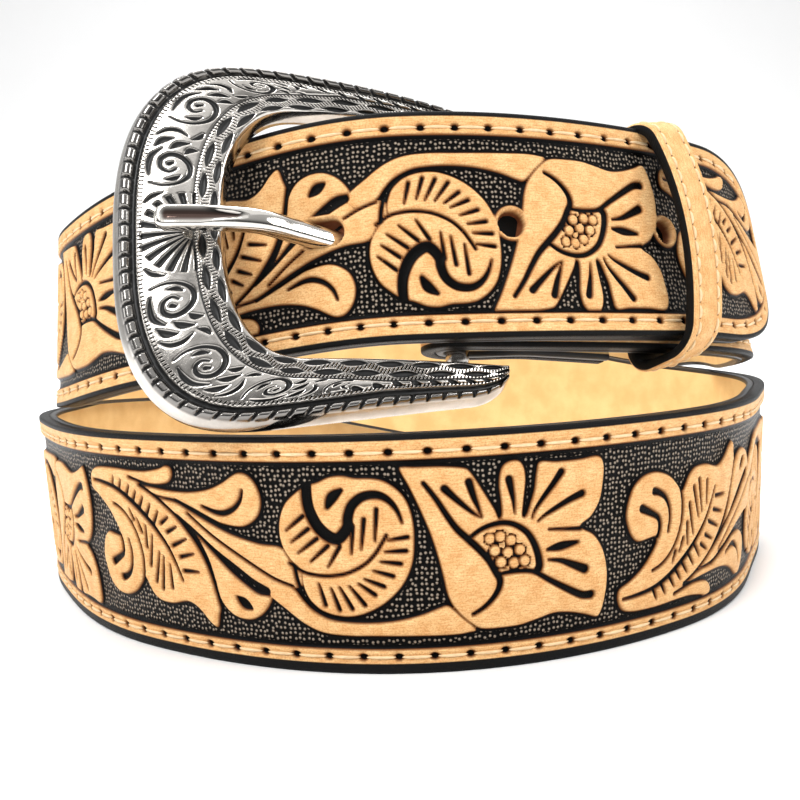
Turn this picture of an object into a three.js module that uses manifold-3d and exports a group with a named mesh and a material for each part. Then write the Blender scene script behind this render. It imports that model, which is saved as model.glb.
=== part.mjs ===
// Western tooled belt, buckled shut and wound twice into a standing coil.
// Millimetres, +Z up. The belt stands on its lower edge, the buckle faces -Y.
// The ribbon is followed by its total angle: 0 is the front of the first turn,
// and the angle grows anticlockwise seen from above, over two turns and a lap.

import * as THREE from "three";
import { mergeVertices } from "three/addons/utils/BufferGeometryUtils.js";
import Module from "manifold-3d";

// Strap: a tooled face leather over a smooth lining
const beltWidth = 38;
const toolingThickness = 2.2;
const liningThickness = 1.4;
const layerGap = 0.3;
const edgeBevel = 0.5;
const strapThickness = toolingThickness + layerGap + liningThickness;

// Coil
const coilRadius = 90;
const turnGap = 0.6;
const layerPitch = strapThickness + turnGap;
const angleStep = 6.2;

// Rounded tip of the billet
const tipAngle = 787;
const tipLength = 36;
const tipFlat = 3;
const tipSteps = 8;

// Fold round the buckle bar, and the turned-back tab
const barAngle = 6;
const barRadius = 2;
const barGap = 0.3;
const foldSteps = 10;
const tabStep = 3.3;
const tabLength = 28;
const tabDrop = 1;
const tabSettle = 13;
const foldRadius = barRadius + barGap + liningThickness + layerGap + toolingThickness;

// Punched holes along the middle of the billet
const holeDiameter = 5;
const holePitch = 31.4;
const prongHoleAngle = 712.4;
const holesBeforeProng = 1;
const holesAfterProng = 2;

// Buckle frame, a cast C with its bar, seen in its own plane
const buckleYaw = -3;
const buckleTurn = 3;
const buckleLean = 7;
const buckleDrop = 0.6;
const frameLength = 56.2;
const frameHalfHeight = 31.4;
const frameEndHalfHeight = 27.4;
const frameSag = 0.7;
const frameOpeningLength = 38.4;
const frameOpeningHalfHeight = 21.4;
const openingSag = -0.1;
const frameHook = 7.2;
const hookRound = 1.04;
const frameThickness = 3.4;
const frameArch = 9;
const archTop = 0.8;
const frameSteps = 96;
const cornerPower = 2.7;
const cornerLength = 21;
const openingPower = 2.5;
const openingCornerLength = 13;

// Cast relief of the frame, measured in from its two edges
const skirtWidth = 1.3;
const ropeWidth = 1.9;
const ropeHeight = 1.1;
const ropeNotch = 0.35;
const channelWidth = 1;
const panelHeight = 1;
const panelLeast = 1.4;
const panelSlope = 0.4;
const borderWidth = 1.9;
const borderGroove = 0.7;
const borderSlope = 0.2;
const borderRound = 0.6;
const scrollRadius = 0.65;

// Prong
const prongWidth = 3.5;
const prongTipWidth = 3.9;
const prongEyeWidth = 5;
const prongEyeWall = 1.7;
const prongTurn = -3;
const prongDrop = 1.8;
const prongReach = 48.5;
const prongGap = 0.4;
const slotGap = 1.3;
const slotLength = 9;

// Keeper, a leather loop round both straps
const keeperAngle = 32.4;
const keeperWidth = 8;
const keeperThickness = 1.8;
const keeperGap = 0.65;
const keeperCorner = 4.5;
const keeperSkew = 11;
const keeperBulge = 3.8;

// Two plain posts hold the turned-back tab
const postRadius = 2;
const postGap = 0.45;
const postCapRadius = 4;
const postCapThickness = 1.2;
const postCapGap = 0.7;
const postInset = 9.5;
const postDistance = 19;

// Photo colours
const tanLeather = { color: 0xe0ab72, roughness: 0.6, metalness: 0 };
const paleLining = { color: 0xe9c78f, roughness: 0.7, metalness: 0 };
const antiqueNickel = { color: 0xa9a7a2, roughness: 0.28, metalness: 1 };
const polishedNickel = { color: 0xd4d2ce, roughness: 0.14, metalness: 1 };

const wasm = await Module();
wasm.setup();

// Run of the outer lower edge. Radius is a share of coilRadius, inside counts
// the strap layers that lie over this one, height is a share of beltWidth, and
// lean is how far the upper edge tips towards the axis, in degrees.
const coilTable = [
  { angle: 6, radius: 1.033, inside: 1, height: 1.322, lean: 12 },
  { angle: 30, radius: 1.029, inside: 1, height: 1.268, lean: 14 },
  { angle: 60, radius: 0.985, inside: 1, height: 1.179, lean: 13 },
  { angle: 75, radius: 0.943, inside: 1, height: 1.121, lean: 11 },
  { angle: 90, radius: 0.956, inside: 1, height: 1.089, lean: 8 },
  { angle: 105, radius: 0.99, inside: 0.5, height: 1.084, lean: 5 },
  { angle: 120, radius: 1.004, inside: 0, height: 1.039, lean: 3 },
  { angle: 150, radius: 1.014, inside: 0, height: 0.789, lean: 2 },
  { angle: 180, radius: 1.011, inside: 0, height: 0.513, lean: 1 },
  { angle: 210, radius: 1, inside: 0, height: 0.25, lean: 0 },
  { angle: 240, radius: 0.986, inside: 0, height: 0.058, lean: 0 },
  { angle: 270, radius: 0.971, inside: 0, height: 0, lean: -2 },
  { angle: 300, radius: 0.94, inside: 0, height: 0, lean: -4 },
  { angle: 330, radius: 1.023, inside: 0, height: 0, lean: -5.5 },
  { angle: 360, radius: 1.107, inside: 0, height: 0, lean: -6.2 },
  { angle: 390, radius: 1.04, inside: 0, height: 0, lean: -5.5 },
  { angle: 420, radius: 0.921, inside: 0, height: 0, lean: -4 },
  { angle: 450, radius: 0.94, inside: 0, height: 0.026, lean: -2 },
  { angle: 480, radius: 0.942, inside: 0.5, height: 0.092, lean: 0 },
  { angle: 510, radius: 0.977, inside: 1, height: 0.263, lean: 0 },
  { angle: 540, radius: 0.988, inside: 1, height: 0.513, lean: 1 },
  { angle: 570, radius: 0.982, inside: 1, height: 0.776, lean: 2 },
  { angle: 600, radius: 0.971, inside: 1, height: 0.966, lean: 2 },
  { angle: 630, radius: 0.967, inside: 1, height: 1.018, lean: 2.2 },
  { angle: 660, radius: 0.96, inside: 0.5, height: 1.07, lean: 5.3 },
  { angle: 690, radius: 0.988, inside: 0, height: 1.216, lean: 9.5 },
  { angle: 720, radius: 1.033, inside: 0, height: 1.358, lean: 11 },
  { angle: 750, radius: 1.03, inside: 0, height: 1.324, lean: 14 },
  { angle: 765, radius: 1, inside: 0, height: 1.284, lean: 11.5 },
  { angle: 800, radius: 0.96, inside: 0, height: 1.21, lean: 9 },
];

function slopeBetween(column, first, last) {
  const rise = coilTable[last][column] - coilTable[first][column];
  return rise / (coilTable[last].angle - coilTable[first].angle);
}

// Slope of a column at a row. The height never overshoots its rows.
function rowSlope(column, row) {
  const before = Math.max(row - 1, 0);
  const after = Math.min(row + 1, coilTable.length - 1);
  if (column !== "height" || before === row || after === row) {
    return slopeBetween(column, before, after);
  }
  const arriving = slopeBetween(column, before, row);
  const leaving = slopeBetween(column, row, after);
  return arriving * leaving <= 0 ? 0 : (2 * arriving * leaving) / (arriving + leaving);
}

function coilValue(column, angle) {
  let row = 0;
  while (row < coilTable.length - 2 && coilTable[row + 1].angle <= angle) {
    row += 1;
  }
  const low = coilTable[row];
  const high = coilTable[row + 1];
  const span = high.angle - low.angle;
  const t = (angle - low.angle) / span;
  const start = (2 * t ** 3 - 3 * t ** 2 + 1) * low[column];
  const startBend = (t ** 3 - 2 * t ** 2 + t) * span * rowSlope(column, row);
  const end = (3 * t ** 2 - 2 * t ** 3) * high[column];
  const endBend = (t ** 3 - t ** 2) * span * rowSlope(column, row + 1);
  return start + startBend + end + endBend;
}

function edgePoint(angle) {
  const turn = THREE.MathUtils.degToRad(angle);
  const radius = coilRadius * coilValue("radius", angle) - layerPitch * coilValue("inside", angle);
  const height = beltWidth * coilValue("height", angle);
  return new THREE.Vector3(radius * Math.sin(turn), -radius * Math.cos(turn), height);
}

// Frame of the ribbon: its outer lower edge, and the ways along, out and up it.
// Where the belt stands on the floor its edges are level.
function strapFrame(angle) {
  const origin = edgePoint(angle);
  const along = edgePoint(angle + 0.1).sub(edgePoint(angle - 0.1)).normalize();
  const level = new THREE.Vector3(along.y, -along.x, 0).normalize();
  const upright = new THREE.Vector3().crossVectors(level, along).normalize();
  const lean = THREE.MathUtils.degToRad(coilValue("lean", angle));
  const outward = level.clone().multiplyScalar(Math.cos(lean)).addScaledVector(upright, Math.sin(lean));
  const up = upright.clone().multiplyScalar(Math.cos(lean)).addScaledVector(level, -Math.sin(lean));
  const standing = THREE.MathUtils.clamp(1 - origin.z / (0.1 * beltWidth), 0, 1);
  const through = outward.clone().lerp(level, standing).normalize();
  return { origin, along, outward, up, through, low: 0, high: beltWidth };
}

function angleFor(distance, angle) {
  const point = edgePoint(angle);
  return THREE.MathUtils.radToDeg(distance / Math.hypot(point.x, point.y));
}

// The tab lies inside the strap, from its end towards the bar
function tabFrames() {
  const reach = angleFor(tabLength, barAngle);
  const steps = Math.ceil(reach / tabStep);
  const frames = [];
  for (let step = steps; step > 0; step -= 1) {
    const frame = strapFrame(barAngle + (reach * step) / steps);
    const distance = (tabLength * step) / steps;
    const settled = THREE.MathUtils.smoothstep(distance, 0, tabSettle);
    const apart = THREE.MathUtils.lerp(2 * foldRadius, 2 * strapThickness + turnGap, settled);
    frame.origin.addScaledVector(frame.outward, -apart);
    frame.origin.addScaledVector(frame.up, -tabDrop * (distance / tabLength));
    frame.outward.negate();
    frame.through = frame.outward;
    frames.push(frame);
  }
  return frames;
}

// Half a turn round the bar, from the tab to the strap
function foldFrames() {
  const base = strapFrame(barAngle);
  const centre = base.origin.clone().addScaledVector(base.outward, -foldRadius);
  const frames = [];
  for (let step = foldSteps; step > 0; step -= 1) {
    const turn = (Math.PI * step) / foldSteps;
    const outward = base.outward.clone().multiplyScalar(Math.cos(turn));
    outward.addScaledVector(base.along, -Math.sin(turn));
    const origin = centre.clone().addScaledVector(outward, foldRadius);
    frames.push({ origin, outward, up: base.up, through: outward, low: 0, high: beltWidth });
  }
  return frames;
}

// The strap proper, with its width drawn in as half an oval at the tip
function mainFrames() {
  const tipTurn = angleFor(tipLength, tipAngle);
  const steps = Math.round((tipAngle - tipTurn - barAngle) / angleStep);
  const frames = [];
  for (let step = 0; step < steps; step += 1) {
    frames.push(strapFrame(barAngle + ((tipAngle - tipTurn - barAngle) * step) / steps));
  }
  const lastTurn = Math.acos(tipFlat / beltWidth);
  for (let step = 0; step <= tipSteps; step += 1) {
    const turn = (lastTurn * step) / tipSteps;
    const frame = strapFrame(tipAngle - tipTurn + tipTurn * Math.sin(turn));
    frame.low = (beltWidth / 2) * (1 - Math.cos(turn));
    frame.high = beltWidth - frame.low;
    frames.push(frame);
  }
  return frames;
}

function place(frame, depth, across) {
  return frame.origin.clone().addScaledVector(frame.through, -depth).addScaledVector(frame.up, across);
}

// A closed solid through rings of equal length, with flat ends, facing out
function solidThrough(rings) {
  const size = rings[0].length;
  const positions = rings.flat().flatMap((point) => [point.x, point.y, point.z]);
  const faces = [];
  for (let ring = 0; ring < rings.length - 1; ring += 1) {
    for (let side = 0; side < size; side += 1) {
      const a = ring * size + side;
      const b = ring * size + ((side + 1) % size);
      faces.push([a, b, b + size], [a, b + size, a + size]);
    }
  }
  const last = (rings.length - 1) * size;
  for (let side = 1; side < size - 1; side += 1) {
    faces.push([0, side + 1, side], [last, last + side, last + side + 1]);
  }
  const corner = (index) => new THREE.Vector3().fromArray(positions, 3 * index);
  let volume = 0;
  for (const [a, b, c] of faces) {
    volume += corner(a).dot(corner(b).cross(corner(c)));
  }
  if (volume < 0) {
    faces.forEach((face) => face.reverse());
  }
  const geometry = new THREE.BufferGeometry();
  geometry.setAttribute("position", new THREE.Float32BufferAttribute(positions, 3));
  geometry.setIndex(faces.flat());
  return geometry;
}

function toSolid(geometry) {
  const bare = geometry.clone();
  bare.deleteAttribute("normal");
  bare.deleteAttribute("uv");
  const merged = mergeVertices(bare, 1e-4);
  const vertProperties = new Float32Array(merged.attributes.position.array);
  const triVerts = new Uint32Array(merged.index.array);
  return new wasm.Manifold(new wasm.Mesh({ numProp: 3, vertProperties, triVerts }));
}

function toGeometry(solid) {
  const mesh = solid.getMesh();
  const geometry = new THREE.BufferGeometry();
  geometry.setAttribute("position", new THREE.BufferAttribute(mesh.vertProperties.slice(), 3));
  geometry.setIndex(new THREE.BufferAttribute(mesh.triVerts.slice(), 1));
  return geometry;
}

const beltFrames = [...tabFrames(), ...foldFrames(), ...mainFrames()];

function toolingRing(frame) {
  const bevel = Math.min(edgeBevel, (frame.high - frame.low) / 6);
  return [
    place(frame, 0, frame.low + bevel),
    place(frame, 0, frame.high - bevel),
    place(frame, bevel, frame.high),
    place(frame, toolingThickness, frame.high),
    place(frame, toolingThickness, frame.low),
    place(frame, bevel, frame.low),
  ];
}

function liningRing(frame) {
  const top = toolingThickness + layerGap;
  return [
    place(frame, top, frame.high),
    place(frame, top, frame.low),
    place(frame, strapThickness, frame.low),
    place(frame, strapThickness, frame.high),
  ];
}

// Axes of the bar and of the buckle, which sits a little askew on it:
// x runs along the strap to the right, y up, z to the front
const barFrame = strapFrame(barAngle);
const barAxes = new THREE.Matrix4().makeBasis(barFrame.along, barFrame.up, barFrame.outward);
const barCentre = barFrame.origin.clone();
barCentre.addScaledVector(barFrame.outward, -foldRadius);
barCentre.addScaledVector(barFrame.up, beltWidth / 2 - buckleDrop);
barAxes.setPosition(barCentre);
const buckleAxes = barAxes.clone();
const buckleTilt = new THREE.Euler(
  THREE.MathUtils.degToRad(-buckleLean),
  THREE.MathUtils.degToRad(buckleYaw),
  THREE.MathUtils.degToRad(buckleTurn),
);
buckleAxes.multiply(new THREE.Matrix4().makeRotationFromEuler(buckleTilt));

// Height of the arched frame over the plane through the bar
function archAt(x) {
  const top = -archTop * frameLength;
  return frameArch * (1 - ((x - top) / top) ** 2);
}

// The two edges of the C share one parameter: 0 at the upper hook, 0.5 at the
// left, 1 at the lower hook. Each is an arm and then a quarter of a rounded corner.
function outlinePoint(t, length, halfHeight, endHalfHeight, corner, power) {
  const side = t < 0.5 ? 1 : -1;
  const s = 1 - Math.abs(2 * t - 1);
  const armShare = 0.5;
  const cornerStart = corner - length;
  if (s < armShare) {
    const x = THREE.MathUtils.lerp(frameHook, cornerStart, s / armShare);
    const share = THREE.MathUtils.clamp((x - cornerStart) / -cornerStart, 0, 1.2);
    const hook = x > 0 ? Math.sqrt(Math.max(0, 1 - (x / (frameHook * hookRound)) ** 2)) : 1;
    const height = THREE.MathUtils.lerp(halfHeight, endHalfHeight, share ** 1.3);
    const inner = frameOpeningHalfHeight;
    return new THREE.Vector2(x, side * (inner + (height - inner) * hook));
  }
  const turn = ((s - armShare) / (1 - armShare)) * (Math.PI / 2);
  const x = cornerStart - corner * Math.sin(turn) ** (2 / power);
  const y = side * halfHeight * Math.cos(turn) ** (2 / power);
  return new THREE.Vector2(x, y);
}

function frameEdges(t) {
  const outer = outlinePoint(t, frameLength, frameHalfHeight, frameEndHalfHeight, cornerLength, cornerPower);
  outer.y -= frameSag;
  const opening = frameOpeningHalfHeight;
  const inner = outlinePoint(t, frameOpeningLength, opening, opening, openingCornerLength, openingPower);
  inner.y -= openingSag;
  return { outer, inner };
}

// A point of the frame: along the C, a share of its width in from the outer
// edge, and a height over the middle of its thickness
function framePoint(t, share, height) {
  const { outer, inner } = frameEdges(t);
  const flat = outer.clone().lerp(inner, share);
  return new THREE.Vector3(flat.x, flat.y, archAt(flat.x) + height);
}

// One section of the frame: skirt, rope edge, channel, raised panel, groove, border
function frameRing(t, notched) {
  const { outer, inner } = frameEdges(t);
  const width = outer.distanceTo(inner);
  const full = skirtWidth + ropeWidth + channelWidth + borderGroove + borderWidth + panelLeast;
  const scale = Math.min(1, width / full) / width;
  const face = frameThickness / 2;
  const rope = face + (notched ? ropeHeight - ropeNotch : ropeHeight);
  const panel = face + panelHeight;
  const ropeIn = skirtWidth + ropeWidth;
  const panelIn = ropeIn + channelWidth;
  const borderIn = borderWidth + borderGroove;
  const dome = panel + Math.min(1, (width - full) / full + 0.2);
  const fromOuter = (distance) => distance * scale;
  const fromInner = (distance) => 1 - distance * scale;
  const middle = (fromOuter(panelIn) + fromInner(borderIn)) / 2;
  const rows = [
    [0, -face],
    [0, -face / 4],
    [fromOuter(skirtWidth), face],
    [fromOuter(skirtWidth + 0.25 * ropeWidth), rope],
    [fromOuter(skirtWidth + 0.75 * ropeWidth), rope],
    [fromOuter(ropeIn), face],
    [fromOuter(panelIn - panelSlope), face],
    [fromOuter(panelIn), panel],
    [middle, dome],
    [fromInner(borderIn), panel],
    [fromInner(borderWidth + borderSlope), face + panelHeight / 3],
    [fromInner(borderWidth), panel],
    [fromInner(borderRound), panel - borderSlope],
    [1, 0],
    [1, -face],
  ];
  return rows.map(([share, height]) => framePoint(t, share, height));
}

// Cast scrolls: each row is a curl lying on the panel. Along and across place
// its eye, size is a share of frameHalfHeight, and turn and sweep are in degrees.
const scrollTable = [
  { along: 0.3, across: 0.5, size: 0.13, turn: 200, sweep: 420 },
  { along: 0.35, across: 0.45, size: 0.11, turn: 20, sweep: 400 },
  { along: 0.41, across: 0.5, size: 0.1, turn: 120, sweep: 360 },
  { along: 0.59, across: 0.5, size: 0.1, turn: 60, sweep: 360 },
  { along: 0.65, across: 0.45, size: 0.11, turn: 160, sweep: 400 },
  { along: 0.7, across: 0.5, size: 0.13, turn: 340, sweep: 420 },
];

const ridgeSides = 4;

function ridgeRing(centre, radius) {
  const ring = [];
  for (let side = 0; side < ridgeSides; side += 1) {
    const turn = (2 * Math.PI * side) / ridgeSides;
    const away = centre.direction.clone().multiplyScalar(radius * Math.cos(turn));
    ring.push(centre.point.clone().add(away).add(new THREE.Vector3(0, 0, radius * Math.sin(turn))));
  }
  return ring;
}

function panelTop(x, t, share) {
  const { outer, inner } = frameEdges(t);
  const width = outer.distanceTo(inner);
  const bulge = 1 - Math.abs(2 * share - 1);
  return archAt(x) + frameThickness / 2 + panelHeight + 0.05 * width * bulge;
}

function scrollRidge(row) {
  const eye = framePoint(row.along, row.across, 0);
  const size = row.size * frameHalfHeight;
  const steps = 9;
  const rings = [];
  for (let step = 0; step <= steps; step += 1) {
    const turn = THREE.MathUtils.degToRad(row.turn + (row.sweep * step) / steps);
    const radius = size * (0.3 + (0.7 * step) / steps);
    const direction = new THREE.Vector3(Math.cos(turn), Math.sin(turn), 0);
    const point = new THREE.Vector3(eye.x, eye.y, 0).addScaledVector(direction, radius);
    point.z = panelTop(point.x, row.along, row.across);
    const end = Math.min(1, 0.3 + (2 * step) / steps, 0.3 + (2 * (steps - step)) / steps);
    rings.push(ridgeRing({ point, direction }, scrollRadius * end));
  }
  return solidThrough(rings);
}

// Fan of raised ribs under the prong's rest
const fanRibs = 5;
const fanSpread = 60;
const fanReach = 7;
const fanStart = 0.75;

function fanRib(number) {
  const turn = THREE.MathUtils.degToRad(180 + fanSpread * (number / (fanRibs - 1) - 0.5));
  const direction = new THREE.Vector3(-Math.sin(turn), Math.cos(turn), 0);
  const rings = [];
  const start = framePoint(0.5, fanStart, 0);
  for (const [reach, size] of [[0, 0.5], [0.35, 1], [0.7, 1.2], [1, 0.4]]) {
    const point = new THREE.Vector3(start.x, start.y, 0);
    point.x += fanReach * reach * Math.cos(turn);
    point.y += fanReach * reach * Math.sin(turn);
    point.z = panelTop(point.x, 0.5, fanStart - 0.4 * reach);
    rings.push(ridgeRing({ point, direction }, scrollRadius * size));
  }
  return solidThrough(rings);
}

function buckleFrame() {
  const rings = [];
  for (let step = 0; step <= frameSteps; step += 1) {
    rings.push(frameRing(step / frameSteps, step % 2 === 1));
  }
  const barLength = 2 * (frameOpeningHalfHeight + barRadius);
  const bar = new THREE.CylinderGeometry(barRadius, barRadius, barLength, 16).applyMatrix4(barAxes);
  let cast = toSolid(solidThrough(rings));
  for (const row of scrollTable) {
    cast = cast.add(toSolid(scrollRidge(row)));
  }
  for (let number = 0; number < fanRibs; number += 1) {
    cast = cast.add(toSolid(fanRib(number)));
  }
  return toGeometry(cast.transform(buckleAxes.elements).add(toSolid(bar)));
}

// Side view of the prong: from the eye under the billet, up through the hole
// and over the frame. Along is a share of prongReach, rise of foldRadius.
const prongTable = [
  { along: 0.04, rise: 0.46 },
  { along: 0.12, rise: 0.5 },
  { along: 0.26, rise: 0.55 },
  { along: 0.36, rise: 0.72 },
  { along: 0.46, rise: 1.2 },
  { along: 0.56, rise: 1.72 },
  { along: 0.68, rise: 2.3 },
  { along: 0.84, rise: 2.48 },
  { along: 1, rise: 2.49 },
];

const prongAxes = buckleAxes.clone();
prongAxes.multiply(new THREE.Matrix4().makeTranslation(0, -prongDrop, 0));
prongAxes.multiply(new THREE.Matrix4().makeRotationZ(THREE.MathUtils.degToRad(prongTurn)));

// The shank with a clearance round it, as far as a number of table rows
function prongShank(clearance, firstRow, lastRow) {
  const points = prongTable.map((row) => {
    return new THREE.Vector3(-row.along * prongReach, 0, row.rise * foldRadius);
  });
  const curve = new THREE.CatmullRomCurve3(points, false, "centripetal");
  const rows = prongTable.length - 1;
  const steps = 3 * (lastRow - firstRow);
  const sides = 8;
  const rings = [];
  for (let step = 0; step <= steps; step += 1) {
    const t = (firstRow + step / 3) / rows;
    const centre = curve.getPoint(t);
    const tangent = curve.getTangent(t);
    const above = new THREE.Vector3(tangent.z, 0, -tangent.x).normalize();
    const tip = THREE.MathUtils.smoothstep(t, 0.6, 1);
    const width = THREE.MathUtils.lerp(prongWidth, prongTipWidth, tip) / 2 + clearance;
    const depth = width * (1 - 0.12 * tip);
    const ring = [];
    for (let side = 0; side < sides; side += 1) {
      const turn = (2 * Math.PI * (side + 0.5)) / sides;
      const point = centre.clone().addScaledVector(above, depth * Math.sin(turn));
      point.y += width * Math.cos(turn);
      ring.push(point);
    }
    rings.push(ring);
  }
  return solidThrough(rings);
}

function prong() {
  const inner = barRadius + barGap;
  const outline = new THREE.Shape().absarc(0, 0, inner + prongEyeWall, 0, 2 * Math.PI);
  outline.holes.push(new THREE.Path().absarc(0, 0, inner, 0, 2 * Math.PI));
  const options = { depth: prongEyeWidth, bevelEnabled: false, curveSegments: 12 };
  const eye = new THREE.ExtrudeGeometry(outline, options);
  eye.translate(0, 0, -prongEyeWidth / 2);
  eye.rotateX(Math.PI / 2);
  eye.translate(0, -prongDrop, 0);
  eye.applyMatrix4(barAxes);
  const bore = new THREE.CylinderGeometry(inner, inner, 4 * prongEyeWidth, 24).applyMatrix4(barAxes);
  const shank = prongShank(0, 0, prongTable.length - 1).applyMatrix4(prongAxes);
  return toGeometry(toSolid(eye).add(toSolid(shank)).subtract(toSolid(bore)));
}

// A straight cutter through the strap at an angle, along its thickness
function strapCutter(angle, across, radius, margin) {
  const frame = strapFrame(angle);
  const length = strapThickness + 2 * margin;
  const cutter = new THREE.CylinderGeometry(radius, radius, length, 12);
  const axes = new THREE.Matrix4().makeBasis(frame.along, frame.outward, frame.up.clone().negate());
  axes.setPosition(place(frame, strapThickness / 2, across));
  return toSolid(cutter.applyMatrix4(axes));
}

// The slot in the fold lets the prong reach the bar, with round room for its
// eye. It follows the ribbon, so that the billet over it stays whole.
function foldSlot() {
  const half = prongEyeWidth / 2 + slotGap;
  const middle = beltWidth / 2 - buckleDrop - prongDrop;
  const inner = tabFrames().slice(-2);
  const outer = [0, 0.5, 1].map((share) => strapFrame(barAngle + share * angleFor(slotLength, barAngle)));
  const margin = turnGap / 3;
  const rings = [...inner, ...foldFrames(), ...outer].map((frame) => [
    place(frame, -margin, middle - half),
    place(frame, -margin, middle + half),
    place(frame, strapThickness + margin, middle + half),
    place(frame, strapThickness + margin, middle - half),
  ]);
  const room = new THREE.CylinderGeometry(foldRadius, foldRadius, 2 * half, 24);
  room.translate(0, -prongDrop, 0);
  return toSolid(solidThrough(rings)).add(toSolid(room.applyMatrix4(barAxes)));
}

const postAngle = barAngle + angleFor(postDistance, barAngle);
const postPlaces = [
  { name: "lower", across: postInset },
  { name: "upper", across: beltWidth - postInset },
];

// A post stands in both layers of the fold, flush outside, with a cap inside
function turnBackPost(across) {
  const frame = strapFrame(postAngle);
  const seat = -(2 * strapThickness + turnGap + postCapGap);
  const profile = [
    new THREE.Vector2(0, 0),
    new THREE.Vector2(postRadius, 0),
    new THREE.Vector2(postRadius, seat),
    new THREE.Vector2(postCapRadius, seat),
    new THREE.Vector2(postCapRadius - 0.4, seat - postCapThickness),
    new THREE.Vector2(0, seat - postCapThickness),
  ];
  const post = mergeVertices(new THREE.LatheGeometry(profile.reverse(), 16), 1e-4);
  const axes = new THREE.Matrix4().makeBasis(frame.along, frame.outward, frame.up.clone().negate());
  axes.setPosition(place(frame, 0, across));
  return toGeometry(toSolid(post.applyMatrix4(axes)));
}

function postCutter(across) {
  const frame = strapFrame(postAngle);
  const length = 2 * strapThickness + turnGap + 2;
  const cutter = new THREE.CylinderGeometry(postRadius + postGap, postRadius + postGap, length, 16);
  const axes = new THREE.Matrix4().makeBasis(frame.along, frame.outward, frame.up.clone().negate());
  axes.setPosition(place(frame, length / 2 - turnGap / 3, across));
  return toSolid(cutter.applyMatrix4(axes));
}

// Everything that is punched or slotted through both layers of the strap
function strapCuts() {
  const cuts = [foldSlot()];
  const pitchAngle = angleFor(holePitch, prongHoleAngle);
  for (let hole = -holesBeforeProng; hole <= holesAfterProng; hole += 1) {
    const angle = prongHoleAngle + hole * pitchAngle;
    cuts.push(strapCutter(angle, beltWidth / 2, holeDiameter / 2, turnGap / 3));
  }
  cuts.push(toSolid(prongShank(prongGap, 2, 6).applyMatrix4(prongAxes)));
  for (const { across } of postPlaces) {
    cuts.push(postCutter(across));
  }
  return cuts;
}

function strapLayer(ringOf) {
  let solid = toSolid(solidThrough(beltFrames.map(ringOf)));
  for (const cut of strapCuts()) {
    solid = solid.subtract(cut);
  }
  return toGeometry(solid);
}

// A rounded box in the keeper's section, x up and y out, with a bulging front
function loopOutline(shape, box, corner, bulge) {
  const { min, max } = box;
  shape.moveTo(min.x + corner, min.y);
  shape.lineTo(max.x - corner, min.y);
  shape.absarc(max.x - corner, min.y + corner, corner, -Math.PI / 2, 0);
  shape.lineTo(max.x, max.y - corner);
  shape.absarc(max.x - corner, max.y - corner, corner, 0, Math.PI / 2);
  shape.quadraticCurveTo((min.x + max.x) / 2, max.y + 2 * bulge, min.x + corner, max.y);
  shape.absarc(min.x + corner, max.y - corner, corner, Math.PI / 2, Math.PI);
  shape.lineTo(min.x, min.y + corner);
  shape.absarc(min.x + corner, min.y + corner, corner, Math.PI, 1.5 * Math.PI);
  return shape;
}

// The keeper goes round the billet and the buckle end at its place, and has
// slid a little askew. Its inside is as large as the straps that pass through.
function keeper() {
  const middle = strapFrame(keeperAngle + 2 * 360);
  const skew = Math.tan(THREE.MathUtils.degToRad(keeperSkew));
  const axes = new THREE.Matrix4().makeBasis(middle.up, middle.outward, middle.along);
  axes.setPosition(place(middle, 0, beltWidth / 2));
  axes.multiply(new THREE.Matrix4().makeShear(0, skew, 0, 0, 0, 0));
  const toKeeper = axes.clone().invert();
  const reached = new THREE.Box2();
  for (const layer of [0, 2 * 360]) {
    for (const across of [0, beltWidth / 2, beltWidth]) {
      for (const side of [-keeperWidth / 2, 0, keeperWidth / 2]) {
        const distance = side + (across - beltWidth / 2) * skew;
        const frame = strapFrame(keeperAngle + layer + angleFor(distance, keeperAngle));
        for (const depth of [0, strapThickness]) {
          const corner = place(frame, depth, across).applyMatrix4(toKeeper);
          reached.expandByPoint(new THREE.Vector2(corner.x, corner.y));
        }
      }
    }
  }
  const opening = reached.clone().expandByScalar(keeperGap);
  const outside = opening.clone().expandByScalar(keeperThickness);
  const outline = loopOutline(new THREE.Shape(), outside, keeperCorner, keeperBulge);
  outline.holes.push(loopOutline(new THREE.Path(), opening, keeperCorner / 4, keeperBulge));
  const options = { depth: keeperWidth, bevelEnabled: false, curveSegments: 5 };
  const band = new THREE.ExtrudeGeometry(outline, options);
  band.translate(0, 0, -keeperWidth / 2);
  return toGeometry(toSolid(band.applyMatrix4(axes)));
}

function named(name, geometry, finish) {
  const mesh = new THREE.Mesh(geometry, new THREE.MeshStandardMaterial(finish));
  mesh.name = name;
  return mesh;
}

const belt = new THREE.Group();
belt.add(named("tooled_strap", strapLayer(toolingRing), tanLeather));
belt.add(named("strap_lining", strapLayer(liningRing), paleLining));
belt.add(named("keeper", keeper(), tanLeather));
belt.add(named("buckle_frame", buckleFrame(), antiqueNickel));
belt.add(named("prong", prong(), polishedNickel));
for (const { name, across } of postPlaces) {
  belt.add(named(`turn_back_post_${name}`, turnBackPost(across), antiqueNickel));
}

// The origin is the middle of the footprint, on the floor
const footprint = new THREE.Box3().setFromObject(belt);
const middle = footprint.getCenter(new THREE.Vector3());
belt.position.set(-middle.x, -middle.y, -footprint.min.z);
const group = new THREE.Group();
group.add(belt);

export default group;
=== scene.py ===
import math
import bpy
import numpy as np
from mathutils import Matrix


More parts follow.
